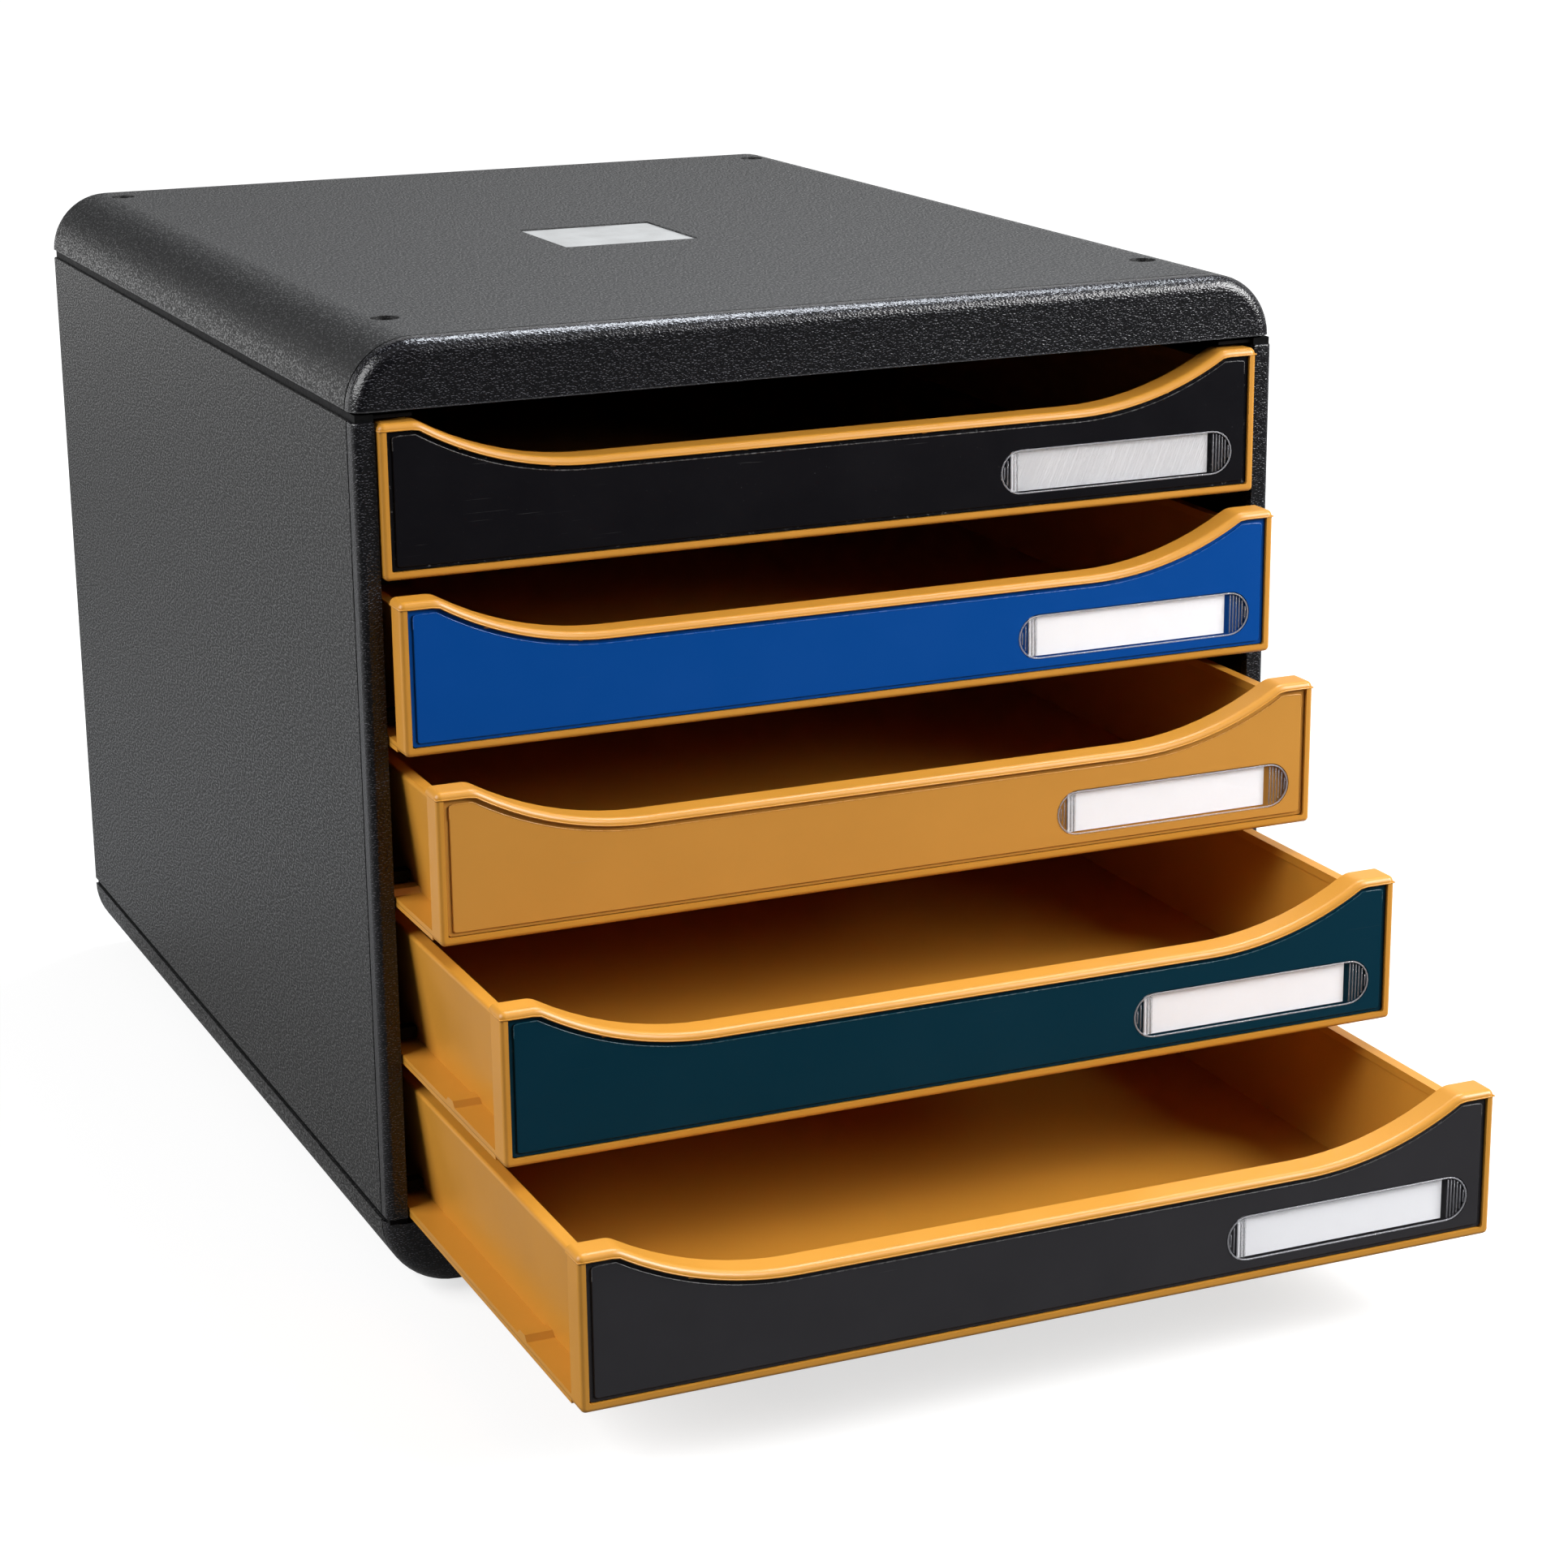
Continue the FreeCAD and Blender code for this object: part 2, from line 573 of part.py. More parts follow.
def make_tray():
    """Drawer moulding: front frame with its rim, floor, leaning walls with a bead, and ledges."""
    body = prism_along_y(leaning_face(WALL_FOOT, 0, WALL_TOP, WALL_HEIGHT), POCKET_END, TRAY_END)
    top_edges = []
    for edge in body.Edges:
        on_top = all(near(v.Z, WALL_HEIGHT) for v in edge.Vertexes)
        at_front = all(near(v.Y, POCKET_END) for v in edge.Vertexes)
        if on_top and not at_front:
            top_edges.append(edge)
    body = body.makeFillet(BEAD_ROUND, top_edges).fuse(make_front_frame())
    low = wall_x(FLOOR_THICK) - TRAY_WALL
    high = wall_x(BEAD_Z) - TRAY_WALL
    hollow = leaning_face(low, FLOOR_THICK, high, BEAD_Z)
    mouth = WALL_TOP - BEAD_WIDTH
    body = body.cut(prism_along_y(hollow, TRAY_START, TRAY_END - TRAY_WALL))
    body = body.cut(box(-mouth, mouth, TRAY_START, TRAY_END - BEAD_WIDTH, BEAD_Z, BEAD_Z + OVERRUN))
    below_rim = prism_along_y(under_rim_face(POST_HALF, -OVERRUN), POCKET_END, TRAY_START)
    over_dip = box(-mouth, mouth, POCKET_END, TRAY_START, 0, FRONT_HEIGHT).cut(below_rim)
    body = body.cut(over_dip).fuse(make_rim())
    right = side_pieces()
    return one_solid(fuse_all(body, right + [mirrored(piece) for piece in right]))


def window_prism(fit, y0, y1):
    """Plate with round ends in the place of the label window."""
    radius = WINDOW_HEIGHT / 2 - fit
    left = WINDOW_X - (WINDOW_LENGTH - WINDOW_HEIGHT) / 2
    right = WINDOW_X + (WINDOW_LENGTH - WINDOW_HEIGHT) / 2
    low = WINDOW_LIFT - radius
    high = WINDOW_LIFT + radius
    face = face_xz([
        line_xz((left, low), (right, low)),
        arc_xz((right, low), (right + radius, WINDOW_LIFT), (right, high)),
        line_xz((right, high), (left, high)),
        arc_xz((left, high), (left - radius, WINDOW_LIFT), (left, low)),
    ])
    return prism_along_y(face, y0, y1)


def make_front_insert():
    half = POCKET_HALF - INSERT_FIT
    bottom = BOTTOM_STRIP + INSERT_FIT
    plate = prism_along_y(under_rim_face(half, bottom, INSERT_FIT), INSERT_SETBACK, POCKET_END)
    plate = round_along_y(plate, POCKET_ROUND, [(half, bottom)])
    field_half = POCKET_HALF - FIELD_SIDE_MARGIN
    field_bottom = BOTTOM_STRIP + FIELD_BOTTOM_MARGIN
    field_top = SHOULDER - FIELD_TOP_MARGIN
    inset = RIM_HEIGHT + FIELD_TOP_MARGIN
    reach = dip_reach(field_top, DIP_HEIGHT - inset, DIP_RADIUS + inset)
    field = prism_along_y(under_rim_face(field_half, field_bottom, FIELD_TOP_MARGIN), FIELD_Y, POCKET_END)
    corners = [(field_half, field_bottom), (field_half, field_top), (reach, field_top)]
    field = round_along_y(field, FIELD_ROUND, corners)
    face_edges = [e for e in field.Edges if all(near(v.Y, FIELD_Y) for v in e.Vertexes)]
    field = field.makeFillet(FIELD_EDGE_ROUND, face_edges)
    return one_solid(plate.fuse(field).cut(window_prism(0, FIELD_Y - OVERRUN, FIELD_Y + WINDOW_DEPTH)))


def make_label_card():
    left = WINDOW_X - WINDOW_LENGTH / 2 + CARD_LEFT_MARGIN
    right = WINDOW_X + WINDOW_LENGTH / 2 - CARD_RIGHT_MARGIN
    half_height = WINDOW_HEIGHT / 2 - CARD_EDGE_MARGIN
    seat = FIELD_Y + WINDOW_DEPTH
    return box(left, right, seat - CARD_THICK, seat, WINDOW_LIFT - half_height, WINDOW_LIFT + half_height)


def make_label_cover():
    """Clear cover that fills the window, with upright grip ribs at both ends."""
    cover = window_prism(COVER_FIT, FIELD_Y, FIELD_Y + WINDOW_DEPTH - CARD_THICK)
    face_edges = [e for e in cover.Edges if all(near(v.Y, FIELD_Y) for v in e.Vertexes)]
    cover = cover.makeFillet(COVER_EDGE_ROUND, face_edges)
    radius = WINDOW_HEIGHT / 2 - GRIP_INSET
    for side, count in ((-1, LEFT_GRIPS), (1, RIGHT_GRIPS)):
        centre = WINDOW_X + side * (WINDOW_LENGTH - WINDOW_HEIGHT) / 2
        for i in range(count):
            offset = radius - GRIP_WIDTH - i * GRIP_PITCH
            half = math.sqrt(radius ** 2 - offset ** 2)
            x = centre + side * offset
            cover = cover.fuse(box(x - GRIP_WIDTH / 2, x + GRIP_WIDTH / 2, FIELD_Y - GRIP_RISE, FIELD_Y,
                                   WINDOW_LIFT - half, WINDOW_LIFT + half))
    tip = V(WINDOW_X + WINDOW_LENGTH / 2, FIELD_Y - OVERRUN, WINDOW_LIFT)
    return one_solid(cover.cut(Part.makeCylinder(NOTCH_RADIUS, 2 * OVERRUN, tip, V(0, 1, 0))))


def casing_nodes():
    panel = make_side_panel()
    rack = make_runner_rack()
    nodes = {
        "base_tray": make_base_tray(),
        "top_cover": make_top_cover(),
        "left_side_panel": mirrored(panel),
        "right_side_panel": panel,
        "left_runner_rack": mirrored(rack),
        "right_runner_rack": rack,
        "back_panel": make_back_panel(),
        "badge_plate": make_badge_plate(),
    }
    for name, x, y in pad_places():
        nodes[name] = make_foot_pad(x, y)
    return nodes


def drawer_nodes():
    """Five like drawers, the first at the top, each pulled out by its own amount."""
    pieces = {
        "tray": make_tray(),
        "front_insert": make_front_insert(),
        "label_card": make_label_card(),
        "label_cover": make_label_cover(),
    }
    nodes = {}
    for i in range(DRAWER_COUNT):
        underside = LOWEST_DRAWER + (DRAWER_COUNT - 1 - i) * DRAWER_PITCH
        place = V(0, FRONT_Y - FRONT_PROUD - STORED_PULLS[i], underside)
        for name, shape in pieces.items():
            moved = shape.copy()
            moved.translate(place)
            nodes["drawer_%d_%s" % (i + 1, name)] = moved
    return nodes


def main():
    os.makedirs("parts", exist_ok=True)
    nodes = casing_nodes()
    nodes.update(drawer_nodes())
    for name, shape in nodes.items():
        shape.exportStep("parts/%s.step" % name)
        row = (name, len(shape.Solids), shape.Volume, shape.isValid())
        print("%-26s solids %d, volume %.0f, valid %s" % row)
    print("%d nodes, drawer pitch %.2f, front height %.2f" % (len(nodes), DRAWER_PITCH, FRONT_HEIGHT))


main()
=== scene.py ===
# %% [markdown]
# # A desktop drawer module, dressed around its moulded parts
#
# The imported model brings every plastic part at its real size: casing, runner racks and five drawers.
# This lesson gives the parts their finishes, adds the fine mouldings that catch the light, and sets up
# the studio. Lengths are in metres and every piece shares one frame: X to the right, Y into the
# casing, Z up, with the origin on the plane that the casing stands on.

# %% Load the moulded parts
import math

import bpy
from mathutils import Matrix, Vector


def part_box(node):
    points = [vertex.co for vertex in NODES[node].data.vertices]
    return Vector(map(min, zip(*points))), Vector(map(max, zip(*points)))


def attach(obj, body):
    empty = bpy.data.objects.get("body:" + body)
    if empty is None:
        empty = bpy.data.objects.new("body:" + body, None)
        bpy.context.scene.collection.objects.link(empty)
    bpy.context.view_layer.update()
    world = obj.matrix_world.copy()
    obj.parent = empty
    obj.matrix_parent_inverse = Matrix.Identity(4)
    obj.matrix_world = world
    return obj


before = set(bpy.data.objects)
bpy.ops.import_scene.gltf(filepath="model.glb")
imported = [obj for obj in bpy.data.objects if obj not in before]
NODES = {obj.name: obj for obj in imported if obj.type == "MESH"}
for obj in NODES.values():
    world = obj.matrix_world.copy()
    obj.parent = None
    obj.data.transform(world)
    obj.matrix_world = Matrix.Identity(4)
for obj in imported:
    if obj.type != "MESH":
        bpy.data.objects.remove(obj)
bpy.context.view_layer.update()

MM = 0.001
DRAWERS = range(1, 6)

# %% [markdown]
# ## The camera
#
# The eye point, the turn and the focal length were worked out from the corners of the casing and of
# the drawers in the photograph. A long lens from about one metre away keeps the lines nearly parallel.

# %% Camera
FOCAL_PIXELS = 4491.32
PHOTO_PIXELS = 1932
SENSOR_WIDTH_MM = 36.0
EYE = (-0.410901, -1.081261, 0.426471)
EYE_TURN_DEGREES = (73.67472, 0.616165, -23.625607)


def make_camera():
    camera = bpy.data.objects.new("photo_camera", bpy.data.cameras.new("photo_camera"))
    bpy.context.scene.collection.objects.link(camera)
    camera.data.sensor_width = SENSOR_WIDTH_MM
    camera.data.lens = FOCAL_PIXELS * SENSOR_WIDTH_MM / PHOTO_PIXELS
    camera.location = EYE
    camera.rotation_euler = [math.radians(turn) for turn in EYE_TURN_DEGREES]
    bpy.context.scene.camera = camera
    return camera


print("lens in mm:", round(make_camera().data.lens, 2))

# %% [markdown]
# ## Small helpers for node trees
#
# Every finish below is a tree of nodes, and so is every piece that repeats. One helper adds a node
# and fills its sockets, which keeps the trees short to write. The others read a pattern on the
# piece's own Object coordinates, so the grain has its real size in metres and moves with the drawer.

# %% Node helpers
def add_node(tree, kind, sockets=None, **settings):
    """Add a node, set its properties, and give its sockets a value or a link from another socket."""
    made = tree.nodes.new(kind)
    for name, value in settings.items():
        setattr(made, name, value)
    for name, value in (sockets or {}).items():
        if isinstance(value, bpy.types.NodeSocket):
            tree.links.new(value, made.inputs[name])
        else:
            made.inputs[name].default_value = value
    return made


def maths(tree, operation, first, second=0.0):
    return add_node(tree, "ShaderNodeMath", {0: first, 1: second}, operation=operation).outputs[0]


def noise(tree, where, size, detail=2.0, rough=0.5):
    """Noise whose blobs are about the given size in metres."""
    return add_node(tree, "ShaderNodeTexNoise", {
        "Vector": where, "Scale": 1 / size, "Detail": detail, "Roughness": rough}).outputs["Fac"]


def stretched(tree, where, scale, turn=(0.0, 0.0, 0.0)):
    """Coordinates scaled and turned, so that a pattern read on them comes out stretched."""
    return add_node(tree, "ShaderNodeMapping", {
        "Vector": where, "Scale": scale, "Rotation": turn}).outputs["Vector"]


def remap(tree, value, low, high, to_low, to_high):
    """Straight ramp from one range to another, held level beyond its ends."""
    return add_node(tree, "ShaderNodeMapRange", {
        "Value": value, "From Min": low, "From Max": high,
        "To Min": to_low, "To Max": to_high}).outputs["Result"]


def band(tree, value, low, high, soft):
    """One between low and high, zero outside, with soft edges."""
    rising = remap(tree, value, low - soft, low + soft, 0.0, 1.0)
    falling = remap(tree, value, high - soft, high + soft, 1.0, 0.0)
    return maths(tree, "MULTIPLY", rising, falling)


def mixed(tree, share, first, second):
    """Colour that goes from the first to the second with the share."""
    made = add_node(tree, "ShaderNodeMix", data_type="RGBA")
    for socket, value in zip((made.inputs[0], made.inputs[6], made.inputs[7]), (share, first, second)):
        if isinstance(value, bpy.types.NodeSocket):
            tree.links.new(value, socket)
        else:
            socket.default_value = value
    return made.outputs[2]


def blended(tree, share, first, second):
    """Number that goes from the first to the second with the share."""
    return add_node(tree, "ShaderNodeMix", {"Factor": share, 2: first, 3: second}).outputs[0]


def start_finish(name):
    """An empty finish: its material, tree, shader, Object coordinates and their three parts."""
    made = bpy.data.materials.new(name)
    made.use_nodes = True
    tree = made.node_tree
    shader = tree.nodes["Principled BSDF"]
    where = add_node(tree, "ShaderNodeTexCoord").outputs["Object"]
    along = add_node(tree, "ShaderNodeSeparateXYZ", {0: where}).outputs
    return made, tree, shader, where, along


def finish_with(tree, shader, colour, roughness, height):
    """Link colour, roughness and a height in metres to the shader."""
    tree.links.new(colour, shader.inputs["Base Color"])
    tree.links.new(roughness, shader.inputs["Roughness"])
    bump = add_node(tree, "ShaderNodeBump", {"Height": height, "Distance": 1.0, "Strength": 1.0})
    tree.links.new(bump.outputs["Normal"], shader.inputs["Normal"])


def opaque(colour, strength=1.0):
    """A colour of three parts as a node socket takes it, brighter or darker by the strength."""
    return (*[part * strength for part in colour], 1.0)


print("helpers ready")

# %% [markdown]
# ## Casing plastic with two grains
#
# The casing is black plastic from moulds with two textures. Behind the thin groove the steel was
# sparked, which leaves a fine speckle. In front of the groove it was etched with a coarse leather
# grain whose tips catch the light, with a grey highlight painted on their upper sides. A share along Y
# switches from one to the other at the groove, and the height of each grain feeds the bump, so both
# shine as the light moves over them.

# %% Sparked grain
SPARK_SIZE = 0.5 * MM
SPARK_RISE = 0.14 * MM
SPARK_STRETCH = (1.0, 0.4, 1.0)
SPARK_GREY = (0.05, 0.05, 0.051)
FINE_BLACK = (0.003, 0.003, 0.0032)


def sparked_grain(tree, where):
    """Colour, roughness and height of the fine speckle."""
    fine = noise(tree, stretched(tree, where, SPARK_STRETCH), SPARK_SIZE, detail=1.0, rough=0.6)
    tone = mixed(tree, remap(tree, fine, 0.5, 0.64, 0.0, 1.0), opaque(FINE_BLACK), opaque(SPARK_GREY))
    return tone, remap(tree, fine, 0.38, 0.62, 0.6, 0.24), maths(tree, "MULTIPLY", fine, SPARK_RISE)


print("speckle of", SPARK_SIZE / MM, "mm")

# %% [markdown]
# The leather grain is a Voronoi pattern: smooth cells, bent by noise and laid longer along X, with the
# valleys between them. Read twice, the second time a little higher up, it also tells which side of an
# island faces upwards, and that side gets a painted highlight: a grey glint painted into the colour.

# %% Leather grain
LEATHER_SIZE = 0.62 * MM
LEATHER_RISE = 0.07 * MM
LEATHER_STRETCH = (0.7, 0.8, 1.35)
LEATHER_TURN = (0.0, 0.25, 0.0)
BEND_SIZE = 1.3 * MM
BEND_REACH = 0.8 * MM
SLOPE_STEP = 0.11 * MM
COARSE_BLACK = (0.0024, 0.0024, 0.0034)
PAINTED_GLINT_GREY = (0.075, 0.075, 0.085)


def leather_height(tree, where, lift=0.0):
    """Long islands with narrow valleys, between zero and one, read a little higher up if asked."""
    raised = add_node(tree, "ShaderNodeVectorMath", {0: where, 1: (0.0, 0.0, lift)}).outputs[0]
    push = add_node(tree, "ShaderNodeTexNoise", {"Vector": raised, "Scale": 1 / BEND_SIZE, "Detail": 2.0})
    offset = add_node(tree, "ShaderNodeVectorMath", {0: push.outputs["Color"], 1: (-0.5, -0.5, -0.5)})
    shift = add_node(tree, "ShaderNodeVectorMath", {0: offset.outputs[0], "Scale": BEND_REACH},
                     operation="SCALE")
    bent = add_node(tree, "ShaderNodeVectorMath", {0: raised, 1: shift.outputs[0]}).outputs[0]
    laid = stretched(tree, bent, LEATHER_STRETCH, LEATHER_TURN)
    cells = add_node(tree, "ShaderNodeTexVoronoi", {
        "Vector": laid, "Scale": 1 / LEATHER_SIZE, "Smoothness": 0.35}, feature="SMOOTH_F1")
    return remap(tree, cells.outputs["Distance"], 0.1, 0.75, 1.0, 0.0)


def leather_grain(tree, where):
    """Colour with a painted highlight on the upper slopes, roughness and height of the coarse grain."""
    leather = leather_height(tree, where)
    upper_slope = maths(tree, "SUBTRACT", leather, leather_height(tree, where, lift=SLOPE_STEP))
    # painted highlight: the upward side of each island gets a grey glint painted into its colour
    painted_glint = remap(tree, upper_slope, 0.15, 0.32, 0.0, 1.0)
    tone = mixed(tree, painted_glint, opaque(COARSE_BLACK), opaque(PAINTED_GLINT_GREY))
    return tone, remap(tree, leather, 0.2, 0.9, 0.26, 0.18), maths(tree, "MULTIPLY", leather, LEATHER_RISE)


print("leather islands of", LEATHER_SIZE / MM, "mm")

# %% [markdown]
# The two grains meet at the groove. The upper ends of the side panels are rubbed pale in patches, and
# the lower edge of the cover's front gets a thin paler line, a painted highlight.

# %% Casing finish
COVER_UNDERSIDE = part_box("top_cover")[0].z
CASING_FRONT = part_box("top_cover")[0].y
COVER_GROOVE = 7.2 * MM
SIDE_GROOVE = 5.9 * MM
COVER_EDGE_HIGHLIGHT = 0.35 * MM
GROOVE_HALF = 0.3 * MM
# painted shade: the colour inside the groove is near black
GROOVE_PAINTED_SHADE = (0.001, 0.001, 0.001)
# pale grey of the rubbed wear, and of the painted highlight along the cover's lower edge
WORN_AND_HIGHLIGHT_GREY = (0.12, 0.12, 0.125)


def wear_and_edge_highlight(tree, where, along, front, lower_edge_highlight):
    """Share of wear and painted highlight: rubbed panel tops in front of the groove, and a thin painted
    highlight along the cover's lower edge.
    """
    rub = remap(tree, noise(tree, where, 3.5 * MM, detail=4.0, rough=0.7), 0.56, 0.7, 0.0, 1.0)
    top_edge = remap(tree, along["Z"], COVER_UNDERSIDE - 7.0 * MM, COVER_UNDERSIDE - 3.4 * MM, 0.0, 1.0)
    below_cover = remap(tree, along["Z"], COVER_UNDERSIDE - 0.5 * MM, COVER_UNDERSIDE, 1.0, 0.0)
    edge = maths(tree, "MULTIPLY", top_edge, below_cover)
    worn = maths(tree, "MULTIPLY", maths(tree, "MULTIPLY", rub, front), edge)
    # painted highlight: a thin paler band along the lower edge of the cover
    lip = band(tree, along["Z"], COVER_UNDERSIDE, COVER_UNDERSIDE + lower_edge_highlight, 0.1 * MM)
    return maths(tree, "MAXIMUM", maths(tree, "MULTIPLY", worn, 0.55), maths(tree, "MULTIPLY", lip, 0.3))


def casing_finish(name, groove, lower_edge_highlight):
    made, tree, shader, where, along = start_finish(name)
    fine_tone, fine_rough, fine_rise = sparked_grain(tree, where)
    coarse_tone, coarse_rough, coarse_rise = leather_grain(tree, where)
    groove_y = CASING_FRONT + groove
    front = remap(tree, along["Y"], groove_y - 0.2 * MM, groove_y + 0.2 * MM, 1.0, 0.0)
    # painted shade in the groove: near black colour, with full roughness
    groove_shade_share = band(tree, along["Y"], groove_y - GROOVE_HALF, groove_y + GROOVE_HALF, 0.1 * MM)
    body = mixed(tree, groove_shade_share, mixed(tree, front, fine_tone, coarse_tone), opaque(GROOVE_PAINTED_SHADE))
    colour = mixed(tree, wear_and_edge_highlight(tree, where, along, front, lower_edge_highlight), body, opaque(WORN_AND_HIGHLIGHT_GREY))
    roughness = blended(tree, groove_shade_share, blended(tree, front, fine_rough, coarse_rough), 1.0)
    finish_with(tree, shader, colour, roughness, blended(tree, front, fine_rise, coarse_rise))
    return made


COVER_FINISH = casing_finish("cover_grain", COVER_GROOVE, COVER_EDGE_HIGHLIGHT)
SIDE_FINISH = casing_finish("side_grain", SIDE_GROOVE, 0.0)
print("groove at", round(CASING_FRONT + COVER_GROOVE, 4), "on the cover")

# %% [markdown]
# ## Runner racks, back panel and foot pads
#
# The racks and the back panel are plain black mouldings that are hardly seen, with a soft orange-peel
# surface. The pads are rubber, duller and a little greyer, with fine pits.

# %% Rack and pad finishes
DARK_SPECULAR = 0.08
DARK_DUST = (0.06, 0.06, 0.06)


def dark_finish(name, colour, size, rise, rough_low, rough_high):
    made, tree, shader, where, along = start_finish(name)
    grain = noise(tree, where, size, detail=3.0)
    dust = remap(tree, noise(tree, where, 0.5 * MM, detail=4.0, rough=0.7), 0.68, 0.76, 0.0, 0.25)
    tone = mixed(tree, grain, opaque(colour, 0.6), opaque(colour, 1.5))
    dusty = mixed(tree, dust, tone, opaque(DARK_DUST))
    roughness = remap(tree, grain, 0.3, 0.7, rough_low, rough_high)
    finish_with(tree, shader, dusty, roughness, maths(tree, "MULTIPLY", grain, rise))
    shader.inputs["Specular IOR Level"].default_value = DARK_SPECULAR
    return made


RACK_FINISH = dark_finish("rack_black", (0.003, 0.003, 0.0033), 1.2 * MM, 0.04 * MM, 0.4, 0.55)
PAD_FINISH = dark_finish("pad_rubber", (0.02, 0.02, 0.02), 0.5 * MM, 0.05 * MM, 0.75, 0.9)
print("dark finishes:", RACK_FINISH.name, PAD_FINISH.name)

# %% [markdown]
# ## Mustard drawer plastic
#
# The drawer trays are satin plastic in one solid colour, so the finish is mostly in the gloss: a very
# fine grain, a slow waviness from the moulding, and a thin sunk parting line along the side of each
# ledge, whose colour is darkened as painted shade.
# All five trays share one material. The remainder of the height over the drawer pitch gives the height
# inside each drawer, whichever drawer it is.

# %% Drawer finish
TRAY_BOXES = {n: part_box("drawer_%d_tray" % n) for n in DRAWERS}
INSERT_BOXES = {n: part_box("drawer_%d_front_insert" % n) for n in DRAWERS}
LOWEST = TRAY_BOXES[5][0].z
PITCH = TRAY_BOXES[4][0].z - LOWEST
TRAY_HALF = TRAY_BOXES[1][1].x
GOLD = (0.56, 0.25, 0.03)
GOLD_DUST = (0.5, 0.34, 0.16)
LEDGE_LINE = 1.3 * MM
LEDGE_LINE_DEPTH = 0.08 * MM
GOLD_GRAIN_RISE = 0.006 * MM
GOLD_WAVE_RISE = 0.12 * MM


def parting_line(tree, along):
    """Share of the thin sunk line along the side of each ledge, darkened in the colour as painted shade."""
    height_in = maths(tree, "MODULO", maths(tree, "SUBTRACT", along["Z"], LOWEST), PITCH)
    reach = maths(tree, "ABSOLUTE", along["X"])
    side = remap(tree, reach, TRAY_HALF - 0.6 * MM, TRAY_HALF - 0.3 * MM, 0.0, 1.0)
    level = band(tree, height_in, LEDGE_LINE - 0.1 * MM, LEDGE_LINE + 0.1 * MM, 0.06 * MM)
    return maths(tree, "MULTIPLY", level, side)


def gold_finish(name, colour):
    made, tree, shader, where, along = start_finish(name)
    fine = noise(tree, where, 0.35 * MM, detail=2.0)
    slow = noise(tree, where, 28 * MM, detail=3.0)
    speck = remap(tree, noise(tree, where, 0.8 * MM, detail=4.0, rough=0.75), 0.7, 0.76, 0.0, 0.35)
    tone = mixed(tree, slow, opaque(colour, 0.93), opaque(colour, 1.07))
    dusty = mixed(tree, speck, tone, opaque(GOLD_DUST))
    line = parting_line(tree, along)
    # painted shade: the sunk parting line is darkened in the colour
    colour_out = mixed(tree, maths(tree, "MULTIPLY", line, 0.5), dusty, opaque(colour, 0.3))
    grain = maths(tree, "MULTIPLY", fine, GOLD_GRAIN_RISE)
    wave = maths(tree, "MULTIPLY", slow, GOLD_WAVE_RISE)
    sunk = maths(tree, "MULTIPLY", line, -LEDGE_LINE_DEPTH)
    height = maths(tree, "ADD", maths(tree, "ADD", grain, wave), sunk)
    finish_with(tree, shader, colour_out, remap(tree, slow, 0.3, 0.7, 0.32, 0.4), height)
    return made


GOLD_FINISH = gold_finish("drawer_gold", GOLD)
print("drawer pitch in mm:", round(PITCH / MM, 2))

# %% [markdown]
# ## Coloured front inserts
#
# Each drawer has a thin front plate in its own colour, with a raised field inside a border. The gloss
# is satin with hairline scratches, and the black one shows dust and pale rub marks on the border, where
# it was pressed into the tray. Scratches are noise stretched about eighty times along one direction
# and kept only at its peaks. Depth along Y tells the border from the field, and the border is darkened
# a little as painted shade around the raised field.

# %% Insert finishes
FIELD_RISE = 0.4 * MM
INSERT_GRAIN_RISE = 0.007 * MM
INSERT_WAVE_RISE = 0.08 * MM
INSERT_SPECULAR = 0.1
SCRATCH_STRETCH = (0.012, 1.0, 1.0)
SCRATCH_TURN = (0.0, 0.12, 0.0)


def marks(tree, where, border, scratch, dust, rub):
    """Share of pale marks: hairline scratches in patches, dust, and rubbing along the border."""
    streaks = noise(tree, stretched(tree, where, SCRATCH_STRETCH, SCRATCH_TURN), 0.22 * MM, detail=1.0)
    where_worn = remap(tree, noise(tree, where, 14 * MM, detail=2.0), 0.52, 0.66, 0.0, 1.0)
    scratched = maths(tree, "MULTIPLY", remap(tree, streaks, 0.74, 0.8, 0.0, scratch), where_worn)
    specks = remap(tree, noise(tree, where, 0.6 * MM, detail=3.0, rough=0.8), 0.71, 0.76, 0.0, dust)
    rubbing = remap(tree, noise(tree, where, 1.6 * MM, detail=4.0, rough=0.8), 0.6, 0.68, 0.0, rub)
    rubbed = maths(tree, "MULTIPLY", rubbing, border)
    return maths(tree, "MAXIMUM", maths(tree, "MAXIMUM", scratched, specks), rubbed)


